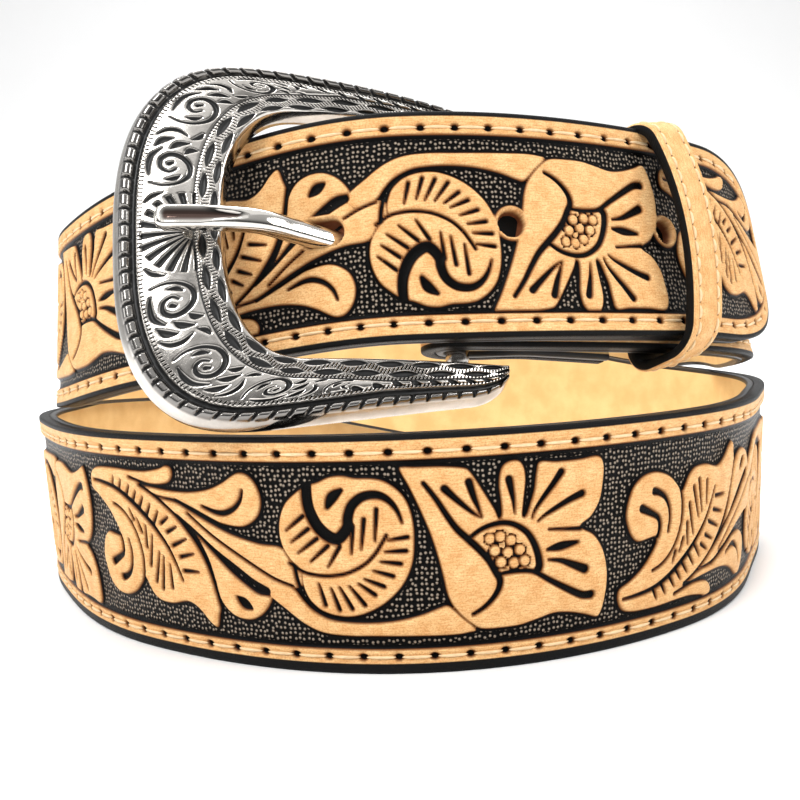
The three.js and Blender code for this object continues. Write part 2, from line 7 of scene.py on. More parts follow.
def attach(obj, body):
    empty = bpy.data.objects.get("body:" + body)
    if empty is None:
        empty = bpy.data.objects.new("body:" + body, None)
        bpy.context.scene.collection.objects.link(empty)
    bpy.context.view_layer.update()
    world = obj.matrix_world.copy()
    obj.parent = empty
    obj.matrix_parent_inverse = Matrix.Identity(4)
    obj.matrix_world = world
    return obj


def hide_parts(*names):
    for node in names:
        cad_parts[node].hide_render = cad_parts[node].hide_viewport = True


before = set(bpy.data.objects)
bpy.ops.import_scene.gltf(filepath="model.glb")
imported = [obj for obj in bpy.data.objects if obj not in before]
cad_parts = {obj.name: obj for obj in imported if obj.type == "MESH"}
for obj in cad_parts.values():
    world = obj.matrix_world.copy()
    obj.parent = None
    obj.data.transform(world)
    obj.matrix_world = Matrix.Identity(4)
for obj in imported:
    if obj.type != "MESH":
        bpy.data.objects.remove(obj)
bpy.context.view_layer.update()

# Camera, at the place that the photograph was taken from: a little over the
# middle of the belt, tipped down a little, and turned a little to one side.
MM = 0.001
camera_data = bpy.data.cameras.new("camera")
camera_data.sensor_width = 36.0
camera_data.lens = 44.95
camera_data.clip_start = 0.01
camera = bpy.data.objects.new("camera", camera_data)
bpy.context.scene.collection.objects.link(camera)
camera.matrix_world = (
    Matrix.Translation((-0.00011, -0.24495, 0.0522))
    @ Matrix.Rotation(math.pi / 2 - 0.0632, 4, "X")
    @ Matrix.Rotation(-0.0444, 4, "Z")
)
bpy.context.scene.camera = camera


# Floor: a plain pale sheet of paper that lies under the belt and curves up
# into a backdrop far behind it. It is staging, and no part of the belt.
def shader(name):
    """A new material with its Principled shader and a function that adds a node."""
    material = bpy.data.materials.new(name)
    material.use_nodes = True
    nodes = material.node_tree.nodes
    principled = nodes["Principled BSDF"]

    def add(kind, **values):
        """One node, each value set on it or on its socket of that name."""
        node = nodes.new("ShaderNode" + kind)
        for key, value in values.items():
            if hasattr(node, key):
                setattr(node, key, value)
            else:
                node.inputs[key].default_value = value
        return node

    return material, principled, add, material.node_tree.links.new


def grid_mesh(name, points, closed_u=False, closed_v=False, caps=False):
    """A mesh over a grid of points, n along by m across. A way that is closed
    joins its last row to its first, and caps are flat fans at the two ends."""
    n, m = points.shape[:2]
    index = np.arange(n * m).reshape(n, m)
    u = index if closed_u else index[:-1]
    u_next = np.roll(index, -1, 0) if closed_u else index[1:]
    a, b = (u, np.roll(u, -1, 1)) if closed_v else (u[:, :-1], u[:, 1:])
    d, c = (u_next, np.roll(u_next, -1, 1)) if closed_v else (u_next[:, :-1], u_next[:, 1:])
    faces = np.stack([a, b, c, d], -1).reshape(-1, 4)
    loops = [faces.ravel()]
    sizes = [np.full(len(faces), 4)]
    if caps:
        loops += [index[0][::-1], index[-1]]
        sizes += [[m], [m]]
    mesh = bpy.data.meshes.new(name)
    loops, sizes = np.concatenate(loops), np.concatenate(sizes)
    mesh.vertices.add(n * m)
    mesh.vertices.foreach_set("co", points.astype(np.float32).ravel())
    mesh.loops.add(len(loops))
    mesh.loops.foreach_set("vertex_index", loops.astype(np.int32))
    mesh.polygons.add(len(sizes))
    starts = np.concatenate([[0], np.cumsum(sizes)[:-1]])
    mesh.polygons.foreach_set("loop_start", starts.astype(np.int32))
    mesh.polygons.foreach_set("use_smooth", np.ones(len(sizes), bool))
    mesh.update(calc_edges=True)
    mesh.validate()
    return mesh


floor_material, floor_shader, add, link = shader("floor paper")
floor_shader.inputs["Base Color"].default_value = (0.93, 0.93, 0.93, 1)
floor_shader.inputs["Roughness"].default_value = 0.45
floor_half, floor_wide, floor_back, floor_rise = 3.0, 12.0, 1.2, 1.5
sweep = np.linspace(0, 1, 24) * math.pi / 2
profile_y = np.concatenate([[-floor_half], floor_back + floor_rise * np.sin(sweep)])
profile_z = np.concatenate([[0], floor_rise * (1 - np.cos(sweep))])
across_x = np.linspace(-floor_wide, floor_wide, 3)
floor_points = np.zeros((len(profile_y), 3, 3))
floor_points[..., 0] = across_x
floor_points[..., 1] = profile_y[:, None]
floor_points[..., 2] = profile_z[:, None]
floor = bpy.data.objects.new("floor", grid_mesh("floor", floor_points[:, ::-1]))
floor.data.materials.append(floor_material)
bpy.context.scene.collection.objects.link(floor)


# Light: soft boxes over and beside the camera, one on the backdrop, and an even
# ceiling, whose light is wide enough to throw hardly any shadow.
def soft_box(name, place, target, size, watts):
    """A square area light at a place, turned to look at a target."""
    data = bpy.data.lights.new(name, "AREA")
    data.size = size
    data.energy = watts
    lamp = bpy.data.objects.new(name, data)
    bpy.context.scene.collection.objects.link(lamp)
    way = np.subtract(target, place)
    level = math.hypot(way[0], way[1])
    lamp.rotation_euler = (math.atan2(level, -way[2]), 0, math.atan2(-way[0], way[1]))
    lamp.location = place
    return lamp


soft_box("key light", (-0.35, -0.6, 0.75), (0, 0, 0.05), 0.35, 6.5)
soft_box("right light", (0.75, -0.35, 0.45), (0, 0, 0.05), 0.3, 3.0)
soft_box("left light", (-0.7, -0.15, 0.25), (0, 0, 0.05), 0.25, 0.8)
soft_box("top light", (0.0, 0.15, 0.9), (0, 0, 0.05), 0.6, 3)
soft_box("backdrop light", (0.0, 0.5, 1.3), (0, 1.6, 0.35), 1.2, 26)
ceiling_data = bpy.data.lights.new("ceiling light", "SUN")
ceiling_data.energy = 0.9
ceiling_data.angle = 1.6
ceiling = bpy.data.objects.new("ceiling light", ceiling_data)
bpy.context.scene.collection.objects.link(ceiling)

# The room is bright above and at the back and dim in front, where the camera
# stands, so that the polished metal has something dark to show.
world = bpy.data.worlds.new("white room")
world.use_nodes = True
room_nodes, room_links = world.node_tree.nodes, world.node_tree.links
room_way = room_nodes.new("ShaderNodeTexCoord")
room_parts = room_nodes.new("ShaderNodeSeparateXYZ")
room_links.new(room_way.outputs["Generated"], room_parts.inputs[0])
room_shares = []
for part, low, high in (("Z", 0.1, 0.75), ("Y", -0.55, 0.35)):
    room_ramp = room_nodes.new("ShaderNodeMapRange")
    room_ramp.interpolation_type = "SMOOTHSTEP"
    room_links.new(room_parts.outputs[part], room_ramp.inputs["Value"])
    room_ramp.inputs["From Min"].default_value = low
    room_ramp.inputs["From Max"].default_value = high
    room_shares.append(room_ramp.outputs["Result"])
room_light = room_nodes.new("ShaderNodeMath")
room_light.operation = "MAXIMUM"
room_links.new(room_shares[0], room_light.inputs[0])
room_links.new(room_shares[1], room_light.inputs[1])
room_level = room_nodes.new("ShaderNodeMapRange")
room_links.new(room_light.outputs[0], room_level.inputs["Value"])
room_level.inputs["To Min"].default_value = 0.07
room_level.inputs["To Max"].default_value = 0.62
room_seen = room_nodes.new("ShaderNodeLightPath")
room_shown = room_nodes.new("ShaderNodeMath")
room_shown.operation = "MAXIMUM"
room_links.new(room_level.outputs["Result"], room_shown.inputs[0])
room_links.new(room_seen.outputs["Is Camera Ray"], room_shown.inputs[1])
room_links.new(room_shown.outputs[0], room_nodes["Background"].inputs["Strength"])
room_nodes["Background"].inputs["Color"].default_value = (1, 1, 1, 1)
bpy.context.scene.world = world
bpy.context.scene.view_settings.view_transform = "Standard"

# Strap: one ribbon of two layers, wound twice. This part works out its run,
# which every other piece follows, and the flat pattern of its tooling.
BELT_WIDTH = 38.0
FACE_THICKNESS = 2.2
LAYER_GAP = 0.3
LINING_THICKNESS = 1.4
STRAP_THICKNESS = FACE_THICKNESS + LAYER_GAP + LINING_THICKNESS
TURN_GAP = 0.6
COIL_RADIUS = 90.0
LAYER_PITCH = STRAP_THICKNESS + TURN_GAP
ROW_SHIFT = np.array([1.4556, 6.3467, 0.0])
BAR_ANGLE = 6.0
TIP_ANGLE = 787.0
TIP_LENGTH = 36.0

# Columns: angle, radius as a share of COIL_RADIUS, layers that lie over it,
# height as a share of BELT_WIDTH, and lean towards the axis in degrees
COIL = np.array([
    (6, 1.033, 1, 1.322, 12), (30, 1.029, 1, 1.268, 14), (60, 0.985, 1, 1.179, 13),
    (75, 0.943, 1, 1.121, 11), (90, 0.956, 1, 1.089, 8), (105, 0.99, 0.5, 1.084, 5),
    (120, 1.004, 0, 1.039, 3), (150, 1.014, 0, 0.789, 2), (180, 1.011, 0, 0.513, 1),
    (210, 1, 0, 0.25, 0), (240, 0.986, 0, 0.058, 0), (270, 0.971, 0, 0, -2),
    (300, 0.94, 0, 0, -4), (330, 1.023, 0, 0, -5.5), (360, 1.107, 0, 0, -6.2),
    (390, 1.04, 0, 0, -5.5), (420, 0.921, 0, 0, -4), (450, 0.94, 0, 0.026, -2),
    (480, 0.942, 0.5, 0.092, 0), (510, 0.977, 1, 0.263, 0), (540, 0.988, 1, 0.513, 1),
    (570, 0.982, 1, 0.776, 2), (600, 0.971, 1, 0.966, 2), (630, 0.967, 1, 1.018, 2.2),
    (660, 0.96, 0.5, 1.07, 5.3), (690, 0.988, 0, 1.216, 9.5), (720, 1.033, 0, 1.358, 11),
    (750, 1.03, 0, 1.324, 14), (765, 1, 0, 1.284, 11.5), (800, 0.96, 0, 1.21, 9),
])


def coil_value(column, angle, level_rows=False):
    """Cubic through the rows of COIL. A slope is the mean over both neighbours,
    or for level_rows the harmonic mean of the two sides, which never overshoots."""
    rows, values = COIL[:, 0], COIL[:, column]
    slopes = np.gradient(values, rows)
    slopes[1:-1] = (values[2:] - values[:-2]) / (rows[2:] - rows[:-2])
    if level_rows:
        sides = np.diff(values) / np.diff(rows)
        a, b = sides[:-1], sides[1:]
        same = a * b > 0
        slopes[1:-1] = np.where(same, 2 * a * b / np.where(same, a + b, 1), 0)
    row = np.clip(np.searchsorted(rows, angle, side="right") - 1, 0, len(rows) - 2)
    span = rows[row + 1] - rows[row]
    t = (angle - rows[row]) / span
    start = (2 * t**3 - 3 * t**2 + 1) * values[row] + (t**3 - 2 * t**2 + t) * span * slopes[row]
    end = (3 * t**2 - 2 * t**3) * values[row + 1] + (t**3 - t**2) * span * slopes[row + 1]
    return start + end


def edge_point(angle):
    """Outer lower edge of the ribbon, in the row frame in millimetres."""
    radius = COIL_RADIUS * coil_value(1, angle) - LAYER_PITCH * coil_value(2, angle)
    turn = np.radians(angle)
    height = BELT_WIDTH * coil_value(3, angle, True)
    return np.stack([radius * np.sin(turn), -radius * np.cos(turn), height], -1) + ROW_SHIFT


def unit(vectors):
    """Vectors divided by their own lengths."""
    return vectors / np.linalg.norm(vectors, axis=-1, keepdims=True)


def strap_frame(angle):
    """Origin, way along, way out, way up and way through the ribbon at angles.
    The level normal is tipped by the lean, and the way through is level where
    the belt stands on the floor, so that its edge lies flat there."""
    angle = np.asarray(angle, float)
    origin = edge_point(angle)
    along = unit(edge_point(angle + 0.1) - edge_point(angle - 0.1))
    level = unit(np.stack([along[..., 1], -along[..., 0], 0 * along[..., 0]], -1))
    upright = unit(np.cross(level, along))
    lean = np.radians(coil_value(4, angle))[..., None]
    outward = np.cos(lean) * level + np.sin(lean) * upright
    up = np.cos(lean) * upright - np.sin(lean) * level
    standing = np.clip(1 - origin[..., 2] / (0.1 * BELT_WIDTH), 0, 1)[..., None]
    through = unit(outward + standing * (level - outward))
    return origin, along, outward, up, through


fine_angles = np.arange(BAR_ANGLE, TIP_ANGLE + 4, 0.05)
fine_origin, _, _, fine_up, _ = strap_frame(fine_angles)
fine_middle = fine_origin + 0.5 * BELT_WIDTH * fine_up
fine_steps = np.linalg.norm(np.diff(fine_middle, axis=0), axis=1)
fine_lengths = np.concatenate([[0], np.cumsum(fine_steps)])


def angle_at(length):
    """Angle of the ribbon at a length from the bar, along its middle line."""
    return np.interp(length, fine_lengths, fine_angles)


def length_at(angle):
    """Length along the middle line at an angle, the reverse of angle_at."""
    return float(np.interp(angle, fine_angles, fine_lengths))


STRAP_LENGTH = length_at(TIP_ANGLE)
TIP_START = STRAP_LENGTH - TIP_LENGTH

# Tooling lines are traced in millimetres along and across the strap, in a
# repeat of 102 mm that starts at 480, as closed outlines and as cut strokes.
REPEAT = 102.0
TRACE_START = 480.0
TILE_STEP = 0.12
tile_x = np.arange(0, REPEAT, TILE_STEP)
tile_y = np.arange(0, BELT_WIDTH + TILE_STEP, TILE_STEP)


def smooth_line(points, closed=False, parts=5):
    """Points along a Catmull-Rom curve through the given points."""
    points = np.asarray(points, float)
    ends = [points[-1:], points, points[:2]] if closed else [points[:1], points, points[-1:]]
    p = np.concatenate(ends)
    t = np.linspace(0, 1, parts, endpoint=False)[:, None, None]
    a, b, c, d = p[:-3], p[1:-2], p[2:-1], p[3:]
    curve = 0.5 * (2 * b + (c - a) * t + (2 * a - 5 * b + 4 * c - d) * t**2
                   + (3 * b - a - 3 * c + d) * t**3)
    curve = curve.transpose(1, 0, 2).reshape(-1, points.shape[1])
    return curve if closed else np.concatenate([curve, points[-1:]])


def line_distance(x, y, line, closed):
    """Distance from each spot to a line with columns x, y and half width, less
    the half width, and the count of times that a ray to the left crosses it."""
    nearest = np.full(x.shape, 9.0)
    inside = np.zeros(x.shape, bool)
    following = np.roll(line, -1, 0) if closed else line[1:]
    for (x0, y0, w0), (x1, y1, w1) in zip(line, following):
        dx, dy = x1 - x0, y1 - y0
        share = np.clip(((x - x0) * dx + (y - y0) * dy) / max(dx * dx + dy * dy, 1e-9), 0, 1)
        gap = np.hypot(x - x0 - share * dx, y - y0 - share * dy) - w0 - share * (w1 - w0)
        nearest = np.minimum(nearest, gap)
        if closed and y0 != y1:
            crosses = (y0 > y) != (y1 > y)
            inside ^= crosses & (x < x0 + (y - y0) * dx / dy)
    return nearest, inside


# A cut stays shallower than the ground, whose beads start below 0.4
CUT_DEEPEST = 0.38


def stamp(field, line, closed=False):
    """Raises the field inside a closed outline, or lowers it along a cut."""
    low, high = line.min(0), line.max(0)
    columns = np.arange(int((low[0] - 3) / TILE_STEP), int((high[0] + 3) / TILE_STEP) + 1)
    rows = np.arange(max(int((low[1] - 3) / TILE_STEP), 0),
                     min(int((high[1] + 3) / TILE_STEP) + 1, field.shape[0]))
    x, y = np.meshgrid(columns * TILE_STEP, rows * TILE_STEP)
    gap, inside = line_distance(x, y, line, closed)
    where = np.ix_(rows, columns % field.shape[1])
    if closed:
        field[where] = np.maximum(field[where], np.where(inside, gap, -gap))
    else:
        field[where] = np.minimum(field[where], np.maximum(gap, -CUT_DEEPEST))


# Outlines of raised leather: leaf with its curl, lobe, stem, bud, swoop, rose, flower
OUTLINES = [
    [(481.5, 27.8), (484, 26.5), (486.5, 24.9), (488.5, 22.9), (489.8, 21), (489.5, 20),
     (488, 20.1), (485.5, 20.3), (484, 19.3), (483, 17.5), (482.5, 15.5), (483, 13),
     (484, 11), (486, 9.6), (488.5, 9.2), (491, 9.7), (493, 10.7), (494.8, 12.3),
     (495.9, 13.2), (496.6, 12.3), (497.5, 10.8), (499, 9.7), (501, 9.4), (503, 9.5),
     (505, 10), (506.5, 10.2), (508, 9.8), (509.5, 8.8), (511, 7.3), (512.3, 6.5),
     (512.9, 7), (513.3, 8.5), (513.8, 10), (513.7, 11.5), (513, 14.5), (512, 17.3),
     (510.5, 20), (508.5, 22.4), (506, 24.8), (503, 26.8), (500, 28.4), (497.6, 29.4),
     (498.4, 29.9), (501, 29.7), (503.5, 29.8), (505.5, 30.3), (506.5, 31.5),
     (506.3, 32.7), (505, 33), (503.5, 32.5), (500, 31.9), (496, 31.8), (490, 32),
     (484, 31.7), (481.8, 30.4)],
    [(497.5, 29.3), (500, 29.3), (505, 28.9), (510, 28.9), (514, 29.5), (517, 30.6),
     (519.5, 32), (521, 32.4), (522.5, 31.9), (523.8, 30.3), (524.3, 28), (523.6, 25.8),
     (522, 24.4), (520, 23.7), (517, 23.9), (513, 24.8), (509, 26.2), (506.4, 27.4),
     (502, 27.9)],
    [(497.5, 29.3), (502, 27.7), (506.5, 27), (510, 25.6), (514, 23.9), (518, 22.4),
     (523, 21.2), (526.9, 20.8), (528.5, 18.8), (530, 17.3), (530.2, 15), (528.5, 14.3),
     (525.5, 15.4), (523.5, 13.5), (521, 14.8), (518, 16.9), (514, 19.5), (510, 22.5),
     (506.5, 24.8), (503, 26.8), (500, 28.4)],
    [(508.3, 24.2), (511, 21.5), (514, 18.8), (517, 16.2), (520, 14.1), (522, 13),
     (524.3, 12.7), (524, 11.5), (522.5, 9.8), (520.5, 8.7), (518.5, 8.5), (516.5, 9),
     (515, 10.1), (514, 11.7), (513.6, 13.5), (513.3, 15), (512.5, 18), (511, 20.8),
     (509.5, 22.8)],
    [(523.5, 13.5), (527, 10.6), (530, 8.5), (533, 7.3), (537, 6.9), (542, 6.9), (548, 6.8),
     (554, 6.7), (556.5, 6.9), (557.8, 7.4), (555.5, 9.6), (553.5, 11.4), (552, 11.2),
     (549, 10.2), (545, 9.4), (541, 9.1), (537, 9.2), (534, 9.7), (531.5, 11),
     (530, 12.5), (528.5, 14.3), (525.5, 15.6)],
    [(532.2, 30.5), (530.5, 29.5), (528.5, 27.8), (527.3, 25.5), (526.9, 23),
     (527.3, 20.8), (528.5, 18.8), (530, 17.3), (530.2, 15), (531, 12.8), (532.5, 11.2),
     (535, 10.2), (538, 10), (541, 10.8), (544, 12.5), (546.5, 15), (548, 18),
     (548.5, 21), (548.5, 24.5), (547.8, 27.5), (546.5, 29.5), (544.5, 31),
     (542.5, 31.5), (540, 31.6), (538, 32), (536, 31.8), (534, 31)],
    [(546.7, 32.7), (547.3, 33.1), (549, 33), (553, 32.9), (556.3, 32.5), (557.3, 31.8),
     (558.5, 30), (560, 27.5), (561, 25.8), (561.6, 24.4), (562, 25), (561.9, 27),
     (561.6, 29.5), (561.8, 31.5), (562.4, 32.6), (563.5, 33.1), (564.8, 33), (565.6, 32),
     (565.9, 30), (565.6, 27), (565.4, 24.5), (566, 24.6), (566.7, 26.5), (567.3, 28.5),
     (567.6, 31), (568.2, 32.6), (571, 32.4), (575, 32.4), (578.5, 32.6), (579.6, 31),
     (579.5, 28), (579, 25.5), (577.5, 23.2), (575.5, 21.8), (578, 20.3), (579.8, 18),
     (580.8, 15), (581, 12), (580.5, 9), (579.8, 7.2), (579, 6.7), (577, 7.4), (574, 8.2),
     (571, 8.5), (568, 7.9), (565, 7.3), (562, 7.2), (559, 7.3), (557.5, 7.9),
     (555.5, 9.6), (554, 11.5), (553.2, 13.5), (552.7, 16), (552, 19), (551, 22.5),
     (549.5, 26.5), (548, 30)],
]

# Cuts of the swivel knife and the stamps, each with its widths along it
CUTS = [
    ((0.3, 0.9, 0.3), [(482.5, 29.3), (485, 29.2), (489, 28.7), (492, 27.8), (495, 26.3),
                       (498, 24.3), (500.5, 22.2), (503, 19.5), (504.5, 17), (505.9, 13.8)]),
    ((0.4, 0.6), [(497.5, 29.4), (500, 28.4), (503, 26.8), (506, 24.8), (508.5, 22.4),
                  (510.5, 20), (512, 17.3), (513, 14.5), (513.7, 11.5), (514, 10.2)]),
    ((0.3, 0.5), [(489, 25.6), (491, 25), (493, 23.7), (494.8, 21.5), (495.8, 19),
                  (496.1, 16.5), (495.6, 13.5), (494.5, 11.5), (493, 10.2)]),
    ((0.35, 0.35), [(495, 30.6), (500, 29.6), (505, 29.1)]),
    ((0.7, 0.7, 1.2), [(490, 20), (490.4, 18.5), (490, 17), (489, 16.3), (487.5, 15.6),
                       (486, 14.9)]),
    ((0.4, 0.5, 1.1), [(492.5, 19.5), (492.8, 17.5), (492.5, 15.5), (491.5, 13.8),
                       (490, 12.8), (488.7, 12.4)]),
    ((0.3, 0.8, 0.6, 0.3), [(512.5, 26.7), (515, 25.9), (517, 25.8), (519, 26.6),
                            (520.4, 28), (521, 29.6)]),
    ((0.4, 0.9, 0.5), [(506.4, 27.4), (510, 26), (514, 24.4), (518, 23)]),
    ((0.3, 0.3), [(509, 25.3), (514, 21.9), (520, 18.5), (525, 15.8), (528.5, 14.6)]),
    ((0.3, 0.7, 1.3), [(506.5, 24.8), (510, 22.5), (514, 19.5), (518, 16.9), (521, 14.8),
                       (523.5, 13.5)]),
    ((0.4, 1.6, 0.4), [(517.7, 12.1), (519, 11.2), (520.3, 10.5)]),
    ((1.5, 1.8, 1.4, 1.1, 0.2), [(532.3, 30.7), (532.2, 28.5), (532.5, 26.5), (533.5, 24.3),
                                 (535, 22.8), (536.7, 22.3), (538.3, 24), (538.5, 25.5),
                                 (539.2, 27.3), (540.7, 28.6), (542.5, 29), (544, 28.7),
                                 (545.3, 27.7), (546.2, 26.3), (546.8, 24.6)]),
    ((0.6, 1.5, 0.5), [(535.4, 27.2), (536.3, 28.7), (537.8, 29.8)]),
    ((0.35, 0.35), [(528.3, 18.3), (530.5, 17), (533, 16.5), (535.5, 16.5),
                    (538, 17), (540.5, 18.2), (542.3, 19.8), (543.5, 21.5), (544.3, 22.8)]),
    ((0.5, 0.5), [(529, 18), (529.5, 15), (530.5, 13), (531.8, 11.5),
                  (533.5, 10.3), (536, 9.6)]),
    ((0.5, 0.9, 0.9, 0.4), [(550.2, 30.5), (552, 28), (553.5, 25.5), (555, 23.3),
                            (556.8, 21.5), (558.5, 19.8), (560, 18), (561, 16.2),
                            (561.7, 14.9), (561.5, 13.5), (560.5, 12), (559, 10.7),
                            (557.3, 9.8)]),
    ((0.4, 0.6, 1.2), [(561.5, 15.7), (563, 15.9), (565.5, 15.9), (567.5, 15.5), (570, 14),
                       (573, 12.3), (576, 10.8), (577.8, 10.6)]),
    ((0.5, 0.7, 1.2), [(557.3, 22), (558.5, 22.8), (560, 23.4), (562, 23.7), (564, 23.3),
                       (566, 22), (567.2, 20.3), (568, 18.3), (568.3, 16.5), (568, 15.8)]),
    ((1.0, 0.6, 0.1), [(553.3, 29.5), (554.5, 28.3), (556, 26.9), (557.5, 25.6),
                       (558.5, 24.9)]),
    ((1.0, 0.6, 0.1), [(557, 30.3), (557.7, 28), (558.3, 26.5), (558.9, 24.8)]),
    ((1.0, 0.6, 0.1), [(563.2, 30.3), (563.6, 28.5), (563.9, 27), (564.1, 25)]),
    ((1.0, 0.6, 0.1), [(571.8, 30.7), (570.5, 29), (568.8, 27), (567.5, 25.3), (566.9, 24)]),
    ((1.0, 0.6, 0.1), [(575.6, 27), (573.5, 26.3), (571, 25.2), (569, 24.2),
                       (567.9, 23.4)]),
    ((0.2, 0.5), [(569.8, 22), (573, 21.7), (575.5, 21.5)]),
    ((0.3, 1.2, 0.4), [(569.6, 18.8), (572, 19.1), (575, 19.4)]),
    ((0.2, 1.3), [(569.8, 17.2), (572, 16.8), (574, 16), (576.5, 14.9)]),
]

# Short straight cuts, columns x and y at the fine end, x and y at the deep end
TICKS = [
    (490.3, 30.5, 489.6, 28.9), (492.5, 30, 491.6, 28.3), (494.8, 29.2, 493.7, 27.5),
    (496.5, 28.3, 495.3, 26.5), (498.3, 27.4, 496.9, 25.5), (500, 26.3, 498.6, 24.3),
    (501.8, 25.2, 500.2, 22.9), (504.2, 24.4, 502.2, 23.2), (506, 22.9, 503.5, 21.8),
    (508, 21, 504.5, 19.6), (509.3, 18.6, 506, 17.8), (510, 15.6, 506.5, 15.5),
    (494, 25, 494.8, 23.3), (495.8, 23.5, 496.7, 21.3), (498, 22.5, 497.6, 18.8),
    (499.5, 21, 498, 15.6), (500.8, 18.2, 499, 12.9), (501.8, 17.5, 500.5, 11.8),
    (503.2, 16.3, 503, 12.3), (528.3, 23.5, 531.3, 25.8), (529, 21.7, 532, 23.8),
    (530, 20, 533.3, 22.3), (532, 18.7, 535, 21.2), (534.8, 17.9, 536.9, 21.1),
    (538.7, 20, 539.2, 24.3), (540.3, 20.7, 541, 25.3), (542.5, 22, 543, 26.8),
    (544.5, 22, 547.5, 22.4), (544, 20.2, 547.2, 20.3), (543.2, 18.7, 546.3, 18.3),
    (542, 17.3, 545, 16.4), (540.5, 16, 543.5, 14.8), (539.5, 15.3, 542, 13.5),
    (538, 14.9, 540.3, 11.9), (536.4, 14.7, 538.2, 11.3), (535, 14.5, 536.1, 11.1),
    (533, 15.2, 533.8, 11.8),
]

# Centres of the nine beads at the heart of the flower
BEADS = [(560.1, 21.4), (561.8, 21.6), (563.5, 20.9), (560.9, 19.5), (563, 19), (565, 19.3),
         (561.9, 17.6), (564, 17.3), (565.8, 17.5)]
BEAD_RADIUS = 0.95


def traced(points, widths, closed=False):
    """Trace moved to the tile, with half widths spread evenly along the line."""
    points = np.asarray(points, float) - (TRACE_START, 0)
    spots = np.linspace(0, 1, len(widths))
    half = 0.5 * np.interp(np.linspace(0, 1, len(points)), spots, widths)
    return smooth_line(np.column_stack([points, half]), closed)


# The tile starts as bare ground, the outlines raise it and the cuts lower it
motif_tile = np.full((len(tile_y), len(tile_x)), -3.0)
for outline in OUTLINES:
    stamp(motif_tile, traced(outline, (0, 0), True), True)
for widths, points in CUTS:
    stamp(motif_tile, traced(points, widths))
for x0, y0, x1, y1 in TICKS:
    stamp(motif_tile, traced([(x0, y0), (0.5 * (x0 + x1), 0.5 * (y0 + y1)), (x1, y1)],
                             (0.15, 0.4, 0.5)))
# Each bead of the flower is a round dot with a dark ring
bead_x, bead_y = np.meshgrid(tile_x, tile_y)
for x0, y0 in BEADS:
    from_bead = np.hypot(bead_x - x0 + TRACE_START, bead_y - y0)
    motif_tile = np.where(from_bead < BEAD_RADIUS + 0.2, BEAD_RADIUS - from_bead, motif_tile)
motif_tile = np.clip(motif_tile, -3, 1.5)

# Repeats along the strap, columns length and repeats passed: the stretch at
# the back, which nobody sees beside the front, takes up what is left over
PHASE = np.array([(0, -4.706), (480, 0), (650, 1.667), (1040, 5), (1196, 6.529)])
TRACE_SCALE, TRACE_DROP = 1.025, 0.94


def motif_at(length, across):
    """Distance into the raised leather, from the tile, mirrored on odd repeats."""
    phase = np.interp(length, PHASE[:, 0], PHASE[:, 1])
    v = (across + TRACE_DROP) / TRACE_SCALE
    v = np.where(np.floor(phase) % 2 == 1, BELT_WIDTH - v, v)
    x = (phase % 1) * REPEAT / TILE_STEP
    y = np.clip(v / TILE_STEP, 0, len(tile_y) - 1.001)
    x0, y0 = np.floor(x).astype(int), np.floor(y).astype(int)
    tx, ty = x - x0, y - y0
    n = len(tile_x)
    rows = motif_tile[y0, x0 % n] * (1 - tx) + motif_tile[y0, (x0 + 1) % n] * tx
    next_rows = motif_tile[y0 + 1, x0 % n] * (1 - tx) + motif_tile[y0 + 1, (x0 + 1) % n] * tx
    return rows * (1 - ty) + next_rows * ty


# Tooled face: vegetable tanned leather, carved and dyed black round the
# flowers, glued to its lining, stitched along both sides, edges painted black.
def add_piece(name, mesh, material, nodes):
    """Puts a finished mesh in the scene as a piece that rides on the belt."""
    piece = bpy.data.objects.new(name, mesh)
    bpy.context.scene.collection.objects.link(piece)
    mesh.materials.append(material)
    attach(piece, "root")
    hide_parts(*nodes)
    return piece


def attribute(mesh, name, values):
    """Keeps one number at each vertex under a name that a material reads."""
    layer = mesh.attributes.new(name, "FLOAT", "POINT")
    layer.data.foreach_set("value", np.asarray(values, np.float32).ravel())


EDGE_PAINT = 0.95
# FLOOR_SHADOW_BAND widens the black along the lower edge where the belt stands on the floor: a
# painted contact shadow.
FLOOR_SHADOW_BAND = 0.8
BORDER = 4.2
STITCH_IN = 2.75
STITCH_PITCH = 5.8
CARVING_DEPTH = 0.75
FOLD_RADIUS = 6.2
TAB_LENGTH = 28.0
TAB_DROP = 1.0
TAB_SETTLE = 13.0
BEND_LENGTH = math.pi * FOLD_RADIUS
HOLE_RADIUS = 2.4
HOLE_PITCH = 31.4
PRONG_HOLE = length_at(712.4)
HOLES = [PRONG_HOLE + HOLE_PITCH * k for k in (-1, 0, 1, 2)]
END_ROW = 0.03
SLOT_START, SLOT_END, SLOT_LOW, SLOT_HIGH = 9.0, BEND_LENGTH + 9.3, 12.8, 20.4


def soft_step(low, high, value):
    """Smooth rise from 0 at low to 1 at high: 3 * x * x - 2 * x * x * x."""
    share = np.clip((value - low) / (high - low), 0, 1)
    return share * share * (3 - 2 * share)


